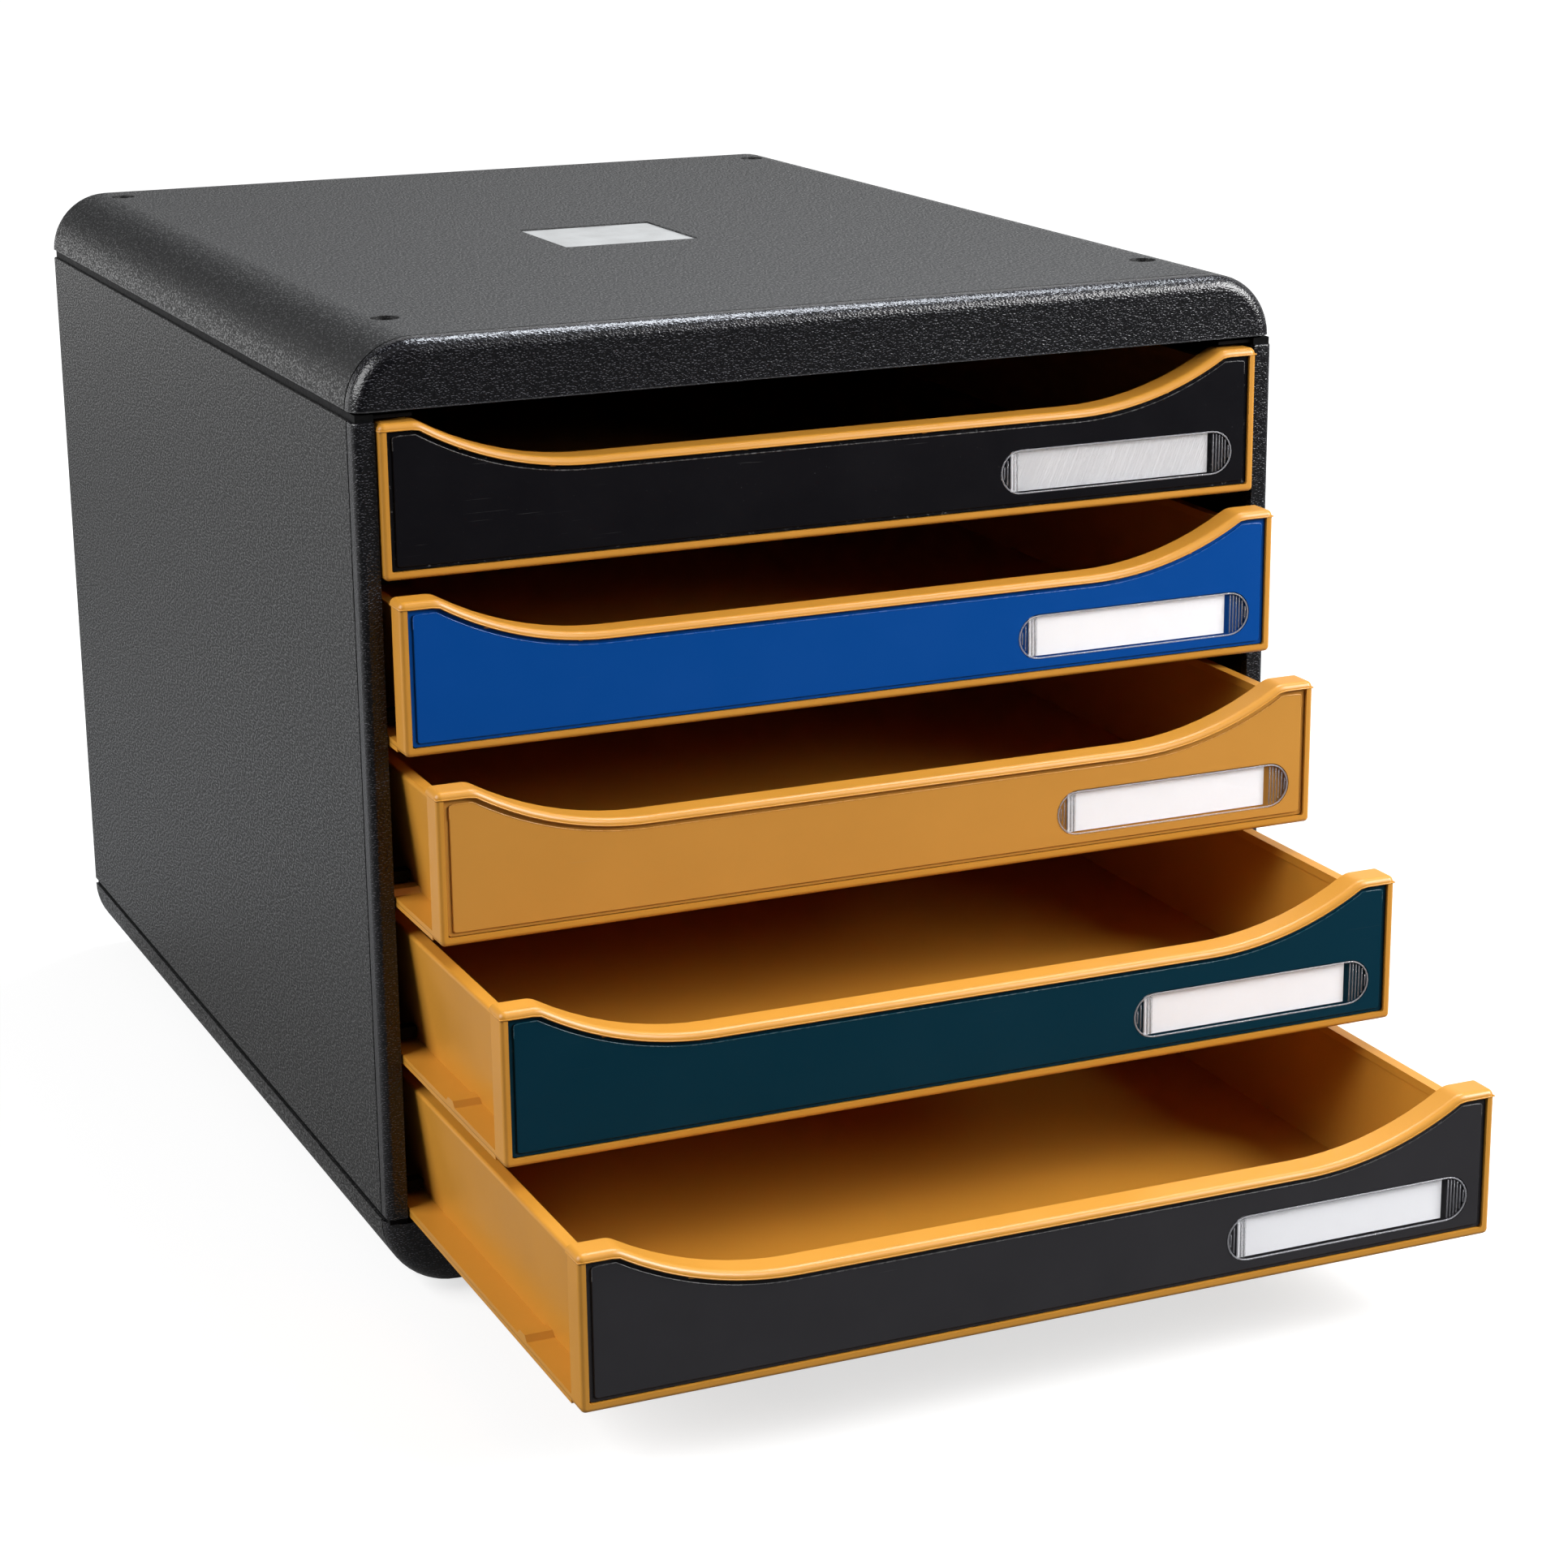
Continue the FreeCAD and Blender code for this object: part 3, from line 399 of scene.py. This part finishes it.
def insert_finish(number, name, colour, scratch, dust, rub, mottle):
    made, tree, shader, where, along = start_finish(name)
    field_y = INSERT_BOXES[number][0].y
    border = remap(tree, along["Y"], field_y + 0.5 * FIELD_RISE, field_y + 0.9 * FIELD_RISE, 0.0, 1.0)
    fine = noise(tree, where, 0.3 * MM, detail=2.0)
    slow = noise(tree, where, 22 * MM, detail=4.0, rough=0.6)
    pale = marks(tree, where, border, scratch, dust, rub)
    tone = mixed(tree, slow, opaque(colour, 1 - mottle), opaque(colour, 1 + mottle))
    # painted shade: the recessed border is darkened around the raised field
    border_painted_shade = mixed(tree, maths(tree, "MULTIPLY", border, 0.3), tone, opaque(colour, 0.45))
    colour_out = mixed(tree, pale, border_painted_shade, opaque([0.5 * part + 0.16 for part in colour]))
    satin = remap(tree, slow, 0.3, 0.7, 0.36, 0.46)
    roughness = maths(tree, "ADD", satin, maths(tree, "MULTIPLY", pale, 0.2))
    grain = maths(tree, "MULTIPLY", fine, INSERT_GRAIN_RISE)
    height = maths(tree, "ADD", grain, maths(tree, "MULTIPLY", slow, INSERT_WAVE_RISE))
    finish_with(tree, shader, colour_out, roughness, height)
    shader.inputs["Specular IOR Level"].default_value = INSERT_SPECULAR
    return made


def painted_highlight_edge_finish(name, colour, dusty):
    """The glossy rounded edge of a field, painted a little lighter than the face as a highlight, with dust in
    patches.
    """
    made, tree, shader, where, along = start_finish(name)
    patches = noise(tree, where, 2.5 * MM, detail=4.0, rough=0.7)
    pale = remap(tree, patches, 0.45, 0.62, 0.0, dusty)
    tone = mixed(tree, pale, opaque(colour), opaque([0.6 * part + 0.12 for part in colour]))
    roughness = remap(tree, patches, 0.3, 0.7, 0.2, 0.34)
    finish_with(tree, shader, tone, roughness, maths(tree, "MULTIPLY", patches, 0.01 * MM))
    return made


INSERT_SLOTS = {
    1: "insert_black",
    2: "insert_blue",
    3: "insert_gold",
    4: "insert_teal",
    5: "insert_charcoal",
}
# painted highlight: each edge colour is lighter than its insert's face
PAINTED_HIGHLIGHT_EDGES = {
    1: painted_highlight_edge_finish("edge_black", (0.02, 0.02, 0.022), 0.7),
    2: painted_highlight_edge_finish("edge_blue", (0.001, 0.08, 0.36), 0.2),
    3: painted_highlight_edge_finish("edge_gold", (0.55, 0.26, 0.05), 0.1),
    4: painted_highlight_edge_finish("edge_teal", (0.001, 0.05, 0.08), 0.2),
    5: painted_highlight_edge_finish("edge_charcoal", (0.05, 0.05, 0.053), 0.3),
}
INSERT_FINISHES = {
    1: insert_finish(1, INSERT_SLOTS[1], (0.0036, 0.0034, 0.005), 0.35, 0.5, 0.7, 0.1),
    2: insert_finish(2, INSERT_SLOTS[2], (0.0004, 0.058, 0.28), 0.15, 0.25, 0.12, 0.04),
    3: insert_finish(3, INSERT_SLOTS[3], (0.54, 0.25, 0.045), 0.1, 0.15, 0.0, 0.05),
    4: insert_finish(4, INSERT_SLOTS[4], (0.0005, 0.026, 0.046), 0.12, 0.25, 0.12, 0.06),
    5: insert_finish(5, INSERT_SLOTS[5], (0.03, 0.029, 0.032), 0.15, 0.2, 0.1, 0.12),
}
print("inserts:", [made.name for made in INSERT_FINISHES.values()])

# %% [markdown]
# ## Paper, clear plastic and the badge
#
# The label card is uncoated paper, with faint fibres. The clear covers are thin, so a low alpha on a
# dark base shows them as glass would, without the noise of refraction; their rims and grip ribs are
# pieces of their own, pale grey and less clear, a painted highlight on the clear plastic. The badge is
# a satin plate, brushed along X by stretched noise.

# %% Card, clear and badge finishes
PAPER_LIGHT = (0.95, 0.95, 0.98)
PAPER_DARK = (0.9, 0.9, 0.93)
BADGE_DARK = (0.44, 0.44, 0.43)
BADGE_LIGHT = (0.56, 0.56, 0.55)
SMOOTH_RISE = 0.004 * MM


def paper_finish(name):
    made, tree, shader, where, along = start_finish(name)
    fibres = noise(tree, stretched(tree, where, (1.0, 1.0, 2.5)), 0.9 * MM, detail=5.0, rough=0.7)
    share = maths(tree, "MULTIPLY", fibres, noise(tree, where, 12 * MM))
    colour = mixed(tree, share, opaque(PAPER_LIGHT), opaque(PAPER_DARK))
    roughness = remap(tree, fibres, 0.3, 0.7, 0.75, 0.9)
    finish_with(tree, shader, colour, roughness, maths(tree, "MULTIPLY", fibres, SMOOTH_RISE))
    return made


def clear_finish(name, colour, alpha, rough_low):
    made, tree, shader, where, along = start_finish(name)
    haze = noise(tree, where, 2.5 * MM, detail=3.0)
    tone = mixed(tree, haze, opaque(colour, 0.9), opaque(colour, 1.1))
    roughness = remap(tree, haze, 0.3, 0.7, rough_low, rough_low + 0.06)
    finish_with(tree, shader, tone, roughness, maths(tree, "MULTIPLY", haze, SMOOTH_RISE))
    shader.inputs["Alpha"].default_value = alpha
    return made


def badge_finish(name):
    made, tree, shader, where, along = start_finish(name)
    brushed = noise(tree, stretched(tree, where, (0.02, 1.0, 1.0)), 0.12 * MM, detail=2.0)
    cloud = noise(tree, where, 9 * MM, detail=3.0)
    colour = mixed(tree, brushed, opaque(BADGE_DARK), opaque(BADGE_LIGHT))
    roughness = remap(tree, cloud, 0.3, 0.7, 0.38, 0.5)
    finish_with(tree, shader, colour, roughness, maths(tree, "MULTIPLY", brushed, SMOOTH_RISE))
    shader.inputs["Metallic"].default_value = 0.6
    return made


PAPER_FINISH = paper_finish("label_paper")
CLEAR_FINISH = clear_finish("label_clear", (0.03, 0.03, 0.035), 0.02, 0.08)
# painted highlight: the clear rim and ribs are pale grey and less clear, for the light on their edges
CLEAR_RIM_PAINTED_HIGHLIGHT = clear_finish("label_clear_rim", (0.5, 0.5, 0.54), 0.4, 0.12)
CLEAR_RIB_PAINTED_HIGHLIGHT = clear_finish("label_clear_rib", (0.3, 0.3, 0.33), 0.45, 0.12)
BADGE_FINISH = badge_finish("badge_metal")
print("clear alpha:", CLEAR_FINISH.node_tree.nodes["Principled BSDF"].inputs["Alpha"].default_value)

# %% [markdown]
# ## Paint the moulded parts
#
# The frame's parts arrive with plain colours from the record. Each gets its finish by name.

# %% Paint
def finish_for(name):
    if name.endswith("_front_insert"):
        return INSERT_FINISHES[int(name.split("_")[1])]
    if name.endswith("_label_card"):
        return PAPER_FINISH
    if name.endswith("_label_cover"):
        return CLEAR_FINISH
    if name.startswith("drawer_"):
        return GOLD_FINISH
    if name == "badge_plate":
        return BADGE_FINISH
    if name == "top_cover":
        return COVER_FINISH
    if name.startswith("foot"):
        return PAD_FINISH
    if name.endswith("_rack") or name == "back_panel":
        return RACK_FINISH
    return SIDE_FINISH


for name, node in NODES.items():
    node.data.materials.clear()
    node.data.materials.append(finish_for(name))
print("painted", len(NODES), "parts")

# %% [markdown]
# ## A press for pieces that follow a rule
#
# Lips, rims and ribs are the same small shape repeated, or one section carried along a path. Each has a
# geometry tree with named sizes. The press below runs a tree on a seed mesh, keeps the outcome as a
# plain mesh, removes the seed with its modifier, and lets the piece ride on its body.

# %% Press
def new_tree(name, sizes):
    tree = bpy.data.node_groups.new(name, "GeometryNodeTree")
    tree.interface.new_socket("Mesh", in_out="INPUT", socket_type="NodeSocketGeometry")
    for size in sizes:
        tree.interface.new_socket(size, in_out="INPUT", socket_type="NodeSocketFloat")
    tree.interface.new_socket("Finish", in_out="INPUT", socket_type="NodeSocketMaterial")
    tree.interface.new_socket("Mesh", in_out="OUTPUT", socket_type="NodeSocketGeometry")
    return tree, tree.nodes.new("NodeGroupInput").outputs


def end_tree(tree, shape, inputs):
    whole = add_node(tree, "GeometryNodeRealizeInstances", {"Geometry": shape})
    smooth = add_node(tree, "GeometryNodeSetShadeSmooth", {"Geometry": whole.outputs[0]})
    painted = add_node(tree, "GeometryNodeSetMaterial", {
        "Geometry": smooth.outputs[0], "Material": inputs["Finish"]})
    done = tree.nodes.new("NodeGroupOutput")
    tree.links.new(painted.outputs[0], done.inputs[0])


def path_mesh(name, points, closed=False):
    links = [(i, i + 1) for i in range(len(points) - 1)]
    if closed:
        links.append((len(points) - 1, 0))
    mesh = bpy.data.meshes.new(name)
    mesh.from_pydata(points, links, [])
    return mesh


def keep_piece(name, mesh, body):
    piece = bpy.data.objects.new(name, mesh)
    bpy.context.scene.collection.objects.link(piece)
    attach(piece, body)
    return piece


def press(name, tree, seed, values, body):
    holder = bpy.data.objects.new("seed", seed)
    bpy.context.scene.collection.objects.link(holder)
    changer = holder.modifiers.new("press", "NODES")
    changer.node_group = tree
    for item in tree.interface.items_tree:
        if item.in_out == "INPUT" and item.name in values:
            changer[item.identifier] = values[item.name]
    graph = bpy.context.evaluated_depsgraph_get()
    mesh = bpy.data.meshes.new_from_object(holder.evaluated_get(graph), depsgraph=graph)
    mesh.name = name
    bpy.data.objects.remove(holder)
    return keep_piece(name, mesh, body)


print("press ready")

# %% [markdown]
# ## The lip under each rim
#
# Where the two halves of the mould met, a thin lip runs along the lower edge of the rim and wraps round
# its ends. It shows as a bright hairline over the insert. A bead carried along the dipped edge makes
# it: the edge is level at the shoulders, and a circle brings it down to the level bottom of the dip.

# %% Rim lips
RIM_DEPTH = 8.5 * MM
SHOULDER = 40.16 * MM
DIP_FLOOR = 26.6 * MM
DIP_ROUND = 94.5 * MM
DIP_FLAT_HALF = 73.23 * MM
LIP_THICK = 0.42 * MM
LIP_STEPS = 120


def dip_height(x, grow=0.0):
    """Height of the rim's lower edge above the drawer's underside, or that of a line below it."""
    reach = max(abs(x) - DIP_FLAT_HALF, 0.0)
    radius = DIP_ROUND + grow
    curved = DIP_FLOOR - grow + radius - math.sqrt(radius ** 2 - min(reach, radius) ** 2)
    return min(curved, SHOULDER - grow)


def lip_path(number):
    low, high = TRAY_BOXES[number]
    front = low.y + 0.02 * MM
    half = high.x - 0.1 * MM
    lift = low.z + 0.12 * MM
    across = [half * (2 * i / LIP_STEPS - 1) for i in range(LIP_STEPS + 1)]
    points = [(x, front, lift + dip_height(x)) for x in across]
    back = front + RIM_DEPTH
    start = [(-half, back, lift + SHOULDER), (-half, front + 0.2 * MM, lift + SHOULDER)]
    end = [(half, front + 0.2 * MM, lift + SHOULDER), (half, back, lift + SHOULDER)]
    return start + points[1:-1] + end


def bead_tree():
    tree, inputs = new_tree("bead_along_path", ["Thickness"])
    curve = add_node(tree, "GeometryNodeMeshToCurve", {"Mesh": inputs["Mesh"]})
    radius = maths(tree, "MULTIPLY", inputs["Thickness"], 0.5)
    ring = add_node(tree, "GeometryNodeCurvePrimitiveCircle", {"Resolution": 8, "Radius": radius})
    swept = add_node(tree, "GeometryNodeCurveToMesh", {
        "Curve": curve.outputs[0], "Profile Curve": ring.outputs[0], "Fill Caps": True})
    end_tree(tree, swept.outputs[0], inputs)
    return tree


BEAD_TREE = bead_tree()
for n in DRAWERS:
    lip = press("drawer_%d_rim_lip" % n, BEAD_TREE, path_mesh("lip_path", lip_path(n)),
                {"Thickness": LIP_THICK, "Finish": GOLD_FINISH}, "drawer_%d" % n)
print("lip faces:", len(lip.data.polygons), "materials:", len(lip.data.materials))

# %% [markdown]
# ## The rounded edge of each raised field
#
# The raised field of an insert ends in a small round edge, which the polished mould leaves glossier
# than the face. It draws a fine bright line below the rim, helped by a colour a little lighter than the
# face's, a painted highlight. The same bead, half sunk in the edge, follows the dip a little lower than
# the rim does, and turns a little way down both sides.

# %% Field edges
POST_WIDTH = 2.2 * MM
FIELD_SIDE_MARGIN = 1.5 * MM
FIELD_HALF = TRAY_HALF - POST_WIDTH - FIELD_SIDE_MARGIN
FIELD_GAP = 1.4 * MM
FIELD_BEAD = 0.36 * MM
FIELD_CORNER = 0.8 * MM
FIELD_SIDE_RUN = 3 * MM


def field_path(number):
    tray_low = TRAY_BOXES[number][0].z
    y = INSERT_BOXES[number][0].y + 0.12 * MM
    half = FIELD_HALF - 0.1 * MM
    across = [half * (2 * i / LIP_STEPS - 1) for i in range(LIP_STEPS + 1)]
    top = [(x, y, tray_low + dip_height(x, FIELD_GAP) - 0.1 * MM) for x in across]
    shoulder = top[0][2] - FIELD_CORNER
    foot = shoulder - FIELD_SIDE_RUN
    corner = (-half + 0.3 * FIELD_CORNER, y, shoulder + 0.7 * FIELD_CORNER)
    left = [(-half, y, foot), (-half, y, shoulder), corner]
    right = [(-x, y, z) for x, y, z in reversed(left)]
    return left + top[1:-1] + right


for n in DRAWERS:
    edge = press("drawer_%d_field_edge" % n, BEAD_TREE, path_mesh("field_path", field_path(n)),
                 {"Thickness": FIELD_BEAD, "Finish": PAINTED_HIGHLIGHT_EDGES[n]}, "drawer_%d" % n)
print("edge faces:", len(edge.data.polygons))

# %% [markdown]
# ## Snap tabs that hold the insert
#
# Small tabs stick out under the rim near both shoulders, where the insert snaps behind it, and each
# tears a little differently. Points along the edge carry small rounded blocks, and a random value with
# a fixed seed stretches each one.

# %% Snap tabs
TAB_PLACES = (-112 * MM, -86 * MM, -30 * MM, 24 * MM, 83 * MM, 101 * MM)
TAB_SHIFT = 2 * MM
TAB_SIZE = 0.5 * MM
TAB_LEAST = (1.3, 0.3, 0.3)
TAB_MOST = (3.2, 0.5, 0.7)
TAB_SEED = 7


def tab_tree():
    tree, inputs = new_tree("snap_tabs", ["Size", "Seed"])
    block = add_node(tree, "GeometryNodeMeshIcoSphere", {"Radius": inputs["Size"], "Subdivisions": 2})
    size = add_node(tree, "FunctionNodeRandomValue", {"Seed": inputs["Seed"]}, data_type="FLOAT_VECTOR")
    size.inputs[0].default_value = TAB_LEAST
    size.inputs[1].default_value = TAB_MOST
    set_on = add_node(tree, "GeometryNodeInstanceOnPoints", {
        "Points": inputs["Mesh"], "Instance": block.outputs["Mesh"], "Scale": size.outputs[0]})
    end_tree(tree, set_on.outputs[0], inputs)
    return tree


TAB_TREE = tab_tree()
for n in DRAWERS:
    low = TRAY_BOXES[n][0]
    places = [x + n * TAB_SHIFT for x in TAB_PLACES]
    spots = [(x, low.y + 0.5 * MM, low.z + dip_height(x) - 0.1 * MM) for x in places]
    tabs = press("drawer_%d_snap_tabs" % n, TAB_TREE, path_mesh("tab_spots", spots),
                 {"Size": TAB_SIZE, "Seed": float(TAB_SEED + n), "Finish": GOLD_FINISH},
                 "drawer_%d" % n)
print("tab faces:", len(tabs.data.polygons))

# %% [markdown]
# ## Rim and grip ribs of the label covers
#
# The clear cover has a raised rim all round and upright grip ribs in its rounded ends. The rim is the
# same bead, carried round a path with round ends. The ribs stand at equal steps, and each is as tall
# as the round end is there: the square root in the tree is the height of a circle at that distance.

# %% Label covers
COVER_BOXES = {n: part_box("drawer_%d_label_cover" % n) for n in DRAWERS}
RIM_BEAD = 0.45 * MM
END_STEPS = 12
RIB_STEP = 1.0 * MM
RIB_WIDTH = 0.42 * MM
RIBS = {-1: 5, 1: 6}


def stadium_path(low, high, inset, y):
    """Closed path with round ends, drawn inset from a box."""
    radius = (high.z - low.z) / 2 - inset
    middle = (high.z + low.z) / 2
    right = high.x - inset - radius
    left = low.x + inset + radius
    points = []
    for centre, start in ((right, -90), (left, 90)):
        for i in range(END_STEPS + 1):
            turn = math.radians(start + 180 * i / END_STEPS)
            points.append((centre + radius * math.cos(turn), y, middle + radius * math.sin(turn)))
    return points


def rib_tree():
    tree, inputs = new_tree("grip_ribs", ["Round radius", "Width"])
    rod = add_node(tree, "GeometryNodeMeshCylinder", {"Vertices": 8, "Radius": inputs["Width"], "Depth": 1.0})
    place = add_node(tree, "GeometryNodeInputNamedAttribute", {"Name": "from_centre"}, data_type="FLOAT")
    square = maths(tree, "MULTIPLY", place.outputs[0], place.outputs[0])
    radius = maths(tree, "MULTIPLY", inputs["Round radius"], inputs["Round radius"])
    half = maths(tree, "SQRT", maths(tree, "SUBTRACT", radius, square))
    size = add_node(tree, "ShaderNodeCombineXYZ", {0: 0.5, 1: 0.5, 2: maths(tree, "MULTIPLY", half, 2.0)})
    set_on = add_node(tree, "GeometryNodeInstanceOnPoints", {
        "Points": inputs["Mesh"], "Instance": rod.outputs["Mesh"], "Scale": size.outputs[0]})
    end_tree(tree, set_on.outputs[0], inputs)
    return tree


def rib_spots(number):
    low, high = COVER_BOXES[number]
    radius = (high.z - low.z) / 2
    y = low.y + 0.3 * MM
    spots, from_centre = [], []
    for side, count in RIBS.items():
        centre = high.x - radius if side > 0 else low.x + radius
        for i in range(count):
            offset = radius - (i + 1.2) * RIB_STEP
            spots.append((centre + side * offset, y, (low.z + high.z) / 2))
            from_centre.append(offset)
    mesh = path_mesh("rib_spots", spots)
    mesh.attributes.new("from_centre", "FLOAT", "POINT").data.foreach_set("value", from_centre)
    return mesh, radius - 0.9 * MM


RIB_TREE = rib_tree()
for n in DRAWERS:
    low, high = COVER_BOXES[n]
    # painted highlight: rim and ribs carry the pale grey of light on clear plastic
    rim = press("drawer_%d_label_rim" % n, BEAD_TREE,
                path_mesh("rim_path", stadium_path(low, high, 0.3 * MM, low.y + 0.25 * MM), closed=True),
                {"Thickness": RIM_BEAD, "Finish": CLEAR_RIM_PAINTED_HIGHLIGHT}, "drawer_%d" % n)
    seed, round_radius = rib_spots(n)
    ribs = press("drawer_%d_label_ribs" % n, RIB_TREE, seed,
                 {"Round radius": round_radius, "Width": RIB_WIDTH, "Finish": CLEAR_RIB_PAINTED_HIGHLIGHT},
                 "drawer_%d" % n)
print("label rim faces:", len(rim.data.polygons), "rib faces:", len(ribs.data.polygons))

# %% [markdown]
# ## The studio
#
# The unit stands on a white floor in front of a white background. Camera rays see the floor as white
# with a soft shadow, which fades out with distance. Other rays see a floor that is pale behind the
# unit, white far behind it, and dark in front of it, as with a black card laid there: that keeps the
# glossy fronts deep.

# %% Floor
FLOOR_HALF = 20.0
FLOOR_DROP = 0.2 * MM
SHADOW_NEAR = 0.45
SHADOW_FAR = 0.9
FLOOR_SEEN = 0.42


def make_floor():
    mesh = bpy.data.meshes.new("studio_floor")
    corners = [(-1, -1), (1, -1), (1, 1), (-1, 1)]
    mesh.from_pydata([(x * FLOOR_HALF, y * FLOOR_HALF, -FLOOR_DROP) for x, y in corners], [], [(0, 1, 2, 3)])
    floor = bpy.data.objects.new("studio_floor", mesh)
    bpy.context.scene.collection.objects.link(floor)
    made, tree, shader, where, along = start_finish("studio_floor")
    path = add_node(tree, "ShaderNodeLightPath").outputs
    behind = remap(tree, along["Y"], -0.4, -0.1, 0.1, 0.35)
    tone = blended(tree, path["Is Camera Ray"], behind, FLOOR_SEEN)
    lit = add_node(tree, "ShaderNodeBsdfDiffuse", {"Color": tone})
    far = add_node(tree, "ShaderNodeVectorMath", {0: where}, operation="LENGTH").outputs["Value"]
    glow_level = remap(tree, far, SHADOW_NEAR, SHADOW_FAR, 0.68, 1.0)
    seen = maths(tree, "MAXIMUM", path["Is Camera Ray"], path["Is Transmission Ray"])
    unseen = maths(tree, "SUBTRACT", 1.0, seen)
    far_glow = maths(tree, "MULTIPLY", remap(tree, along["Y"], 1.0, 3.0, 0.0, 1.0), unseen)
    strength = maths(tree, "ADD", maths(tree, "MULTIPLY", glow_level, seen), far_glow)
    glow = add_node(tree, "ShaderNodeEmission", {"Strength": strength})
    both = add_node(tree, "ShaderNodeAddShader", {0: lit.outputs[0], 1: glow.outputs[0]})
    tree.links.new(both.outputs[0], tree.nodes["Material Output"].inputs["Surface"])
    tree.nodes.remove(shader)
    mesh.materials.append(made)


make_floor()
print("floor ready")

# %% [markdown]
# ## What the plastic mirrors
#
# The world is white for the camera. Reflections see something else: behind the unit a thin bright
# horizon and a wide grey card, which dims towards the left and ends below the overhead lamp, and in
# front of it near darkness that lifts towards the ceiling. The card gives the top its even sheen, and
# its upper end leaves the dark line behind the bright band on the cover's front edge.

# %% World
DARK_LEFT = 0.12
LIGHT_RIGHT = 1.3
CARD_LOW = 0.2
CARD_HIGH = 0.65
HORIZON = 0.9
FRONT_LOW = 0.03
FRONT_HIGH = 0.3


def make_world():
    world = bpy.data.worlds.new("studio")
    bpy.context.scene.world = world
    world.use_nodes = True
    tree = world.node_tree
    tree.nodes.clear()
    where = add_node(tree, "ShaderNodeTexCoord").outputs["Generated"]
    along = add_node(tree, "ShaderNodeSeparateXYZ", {0: where}).outputs
    path = add_node(tree, "ShaderNodeLightPath").outputs
    horizon = remap(tree, along["Z"], 0.04, 0.12, HORIZON, 0.0)
    card_rise = remap(tree, along["Z"], 0.18, 0.34, CARD_LOW, CARD_HIGH)
    card_end = remap(tree, along["Z"], 0.52, 0.6, 1.0, 0.0)
    to_right = remap(tree, along["X"], -0.05, 0.4, DARK_LEFT, LIGHT_RIGHT)
    card = maths(tree, "MULTIPLY", maths(tree, "MULTIPLY", card_rise, card_end), to_right)
    rear = maths(tree, "MAXIMUM", card, horizon)
    front = remap(tree, along["Z"], 0.5, 0.9, FRONT_LOW, FRONT_HIGH)
    level = blended(tree, remap(tree, along["Y"], -0.15, 0.25, 0.0, 1.0), front, rear)
    seen = maths(tree, "MAXIMUM", path["Is Camera Ray"], path["Is Transmission Ray"])
    strength = blended(tree, seen, level, 1.0)
    back = add_node(tree, "ShaderNodeBackground", {"Color": (1, 1, 1, 1), "Strength": strength})
    add_node(tree, "ShaderNodeOutputWorld", {"Surface": back.outputs[0]})


make_world()
print("world ready")

# %% [markdown]
# ## Three softboxes
#
# The key stands in front to the right, far enough round that the fronts and the cover's edge do not
# mirror it. A large soft lamp on the left lights the outer drawer sides. A narrow bluish lamp overhead
# lights the rims and draws the bright band along the cover's front edge. All aim at the drawers.

# %% Softboxes
DAYLIGHT = (0.88, 0.93, 1.0)
AIM = Vector((0.0, -0.15, 0.12))


def softbox(name, direction, distance, width, height, power, colour=(1, 1, 1)):
    lamp = bpy.data.lights.new(name, "AREA")
    lamp.shape = "RECTANGLE"
    lamp.size = width
    lamp.size_y = height
    lamp.energy = power
    lamp.color = colour
    holder = bpy.data.objects.new(name, lamp)
    bpy.context.scene.collection.objects.link(holder)
    holder.location = AIM + Vector(direction).normalized() * distance
    holder.rotation_euler = (AIM - holder.location).to_track_quat("-Z", "Y").to_euler()


softbox("key_right", (0.88, -0.66, 0.62), distance=1.4, width=0.7, height=0.7, power=30.5)
softbox("left", (-0.8, 0.04, 0.5), distance=1.6, width=1.4, height=1.0, power=29)
softbox("overhead", (0.3, 0.2, 0.9), distance=1.15, width=0.75, height=0.24, power=12, colour=DAYLIGHT)

bpy.context.scene.view_settings.view_transform = "Standard"
print("softboxes ready")
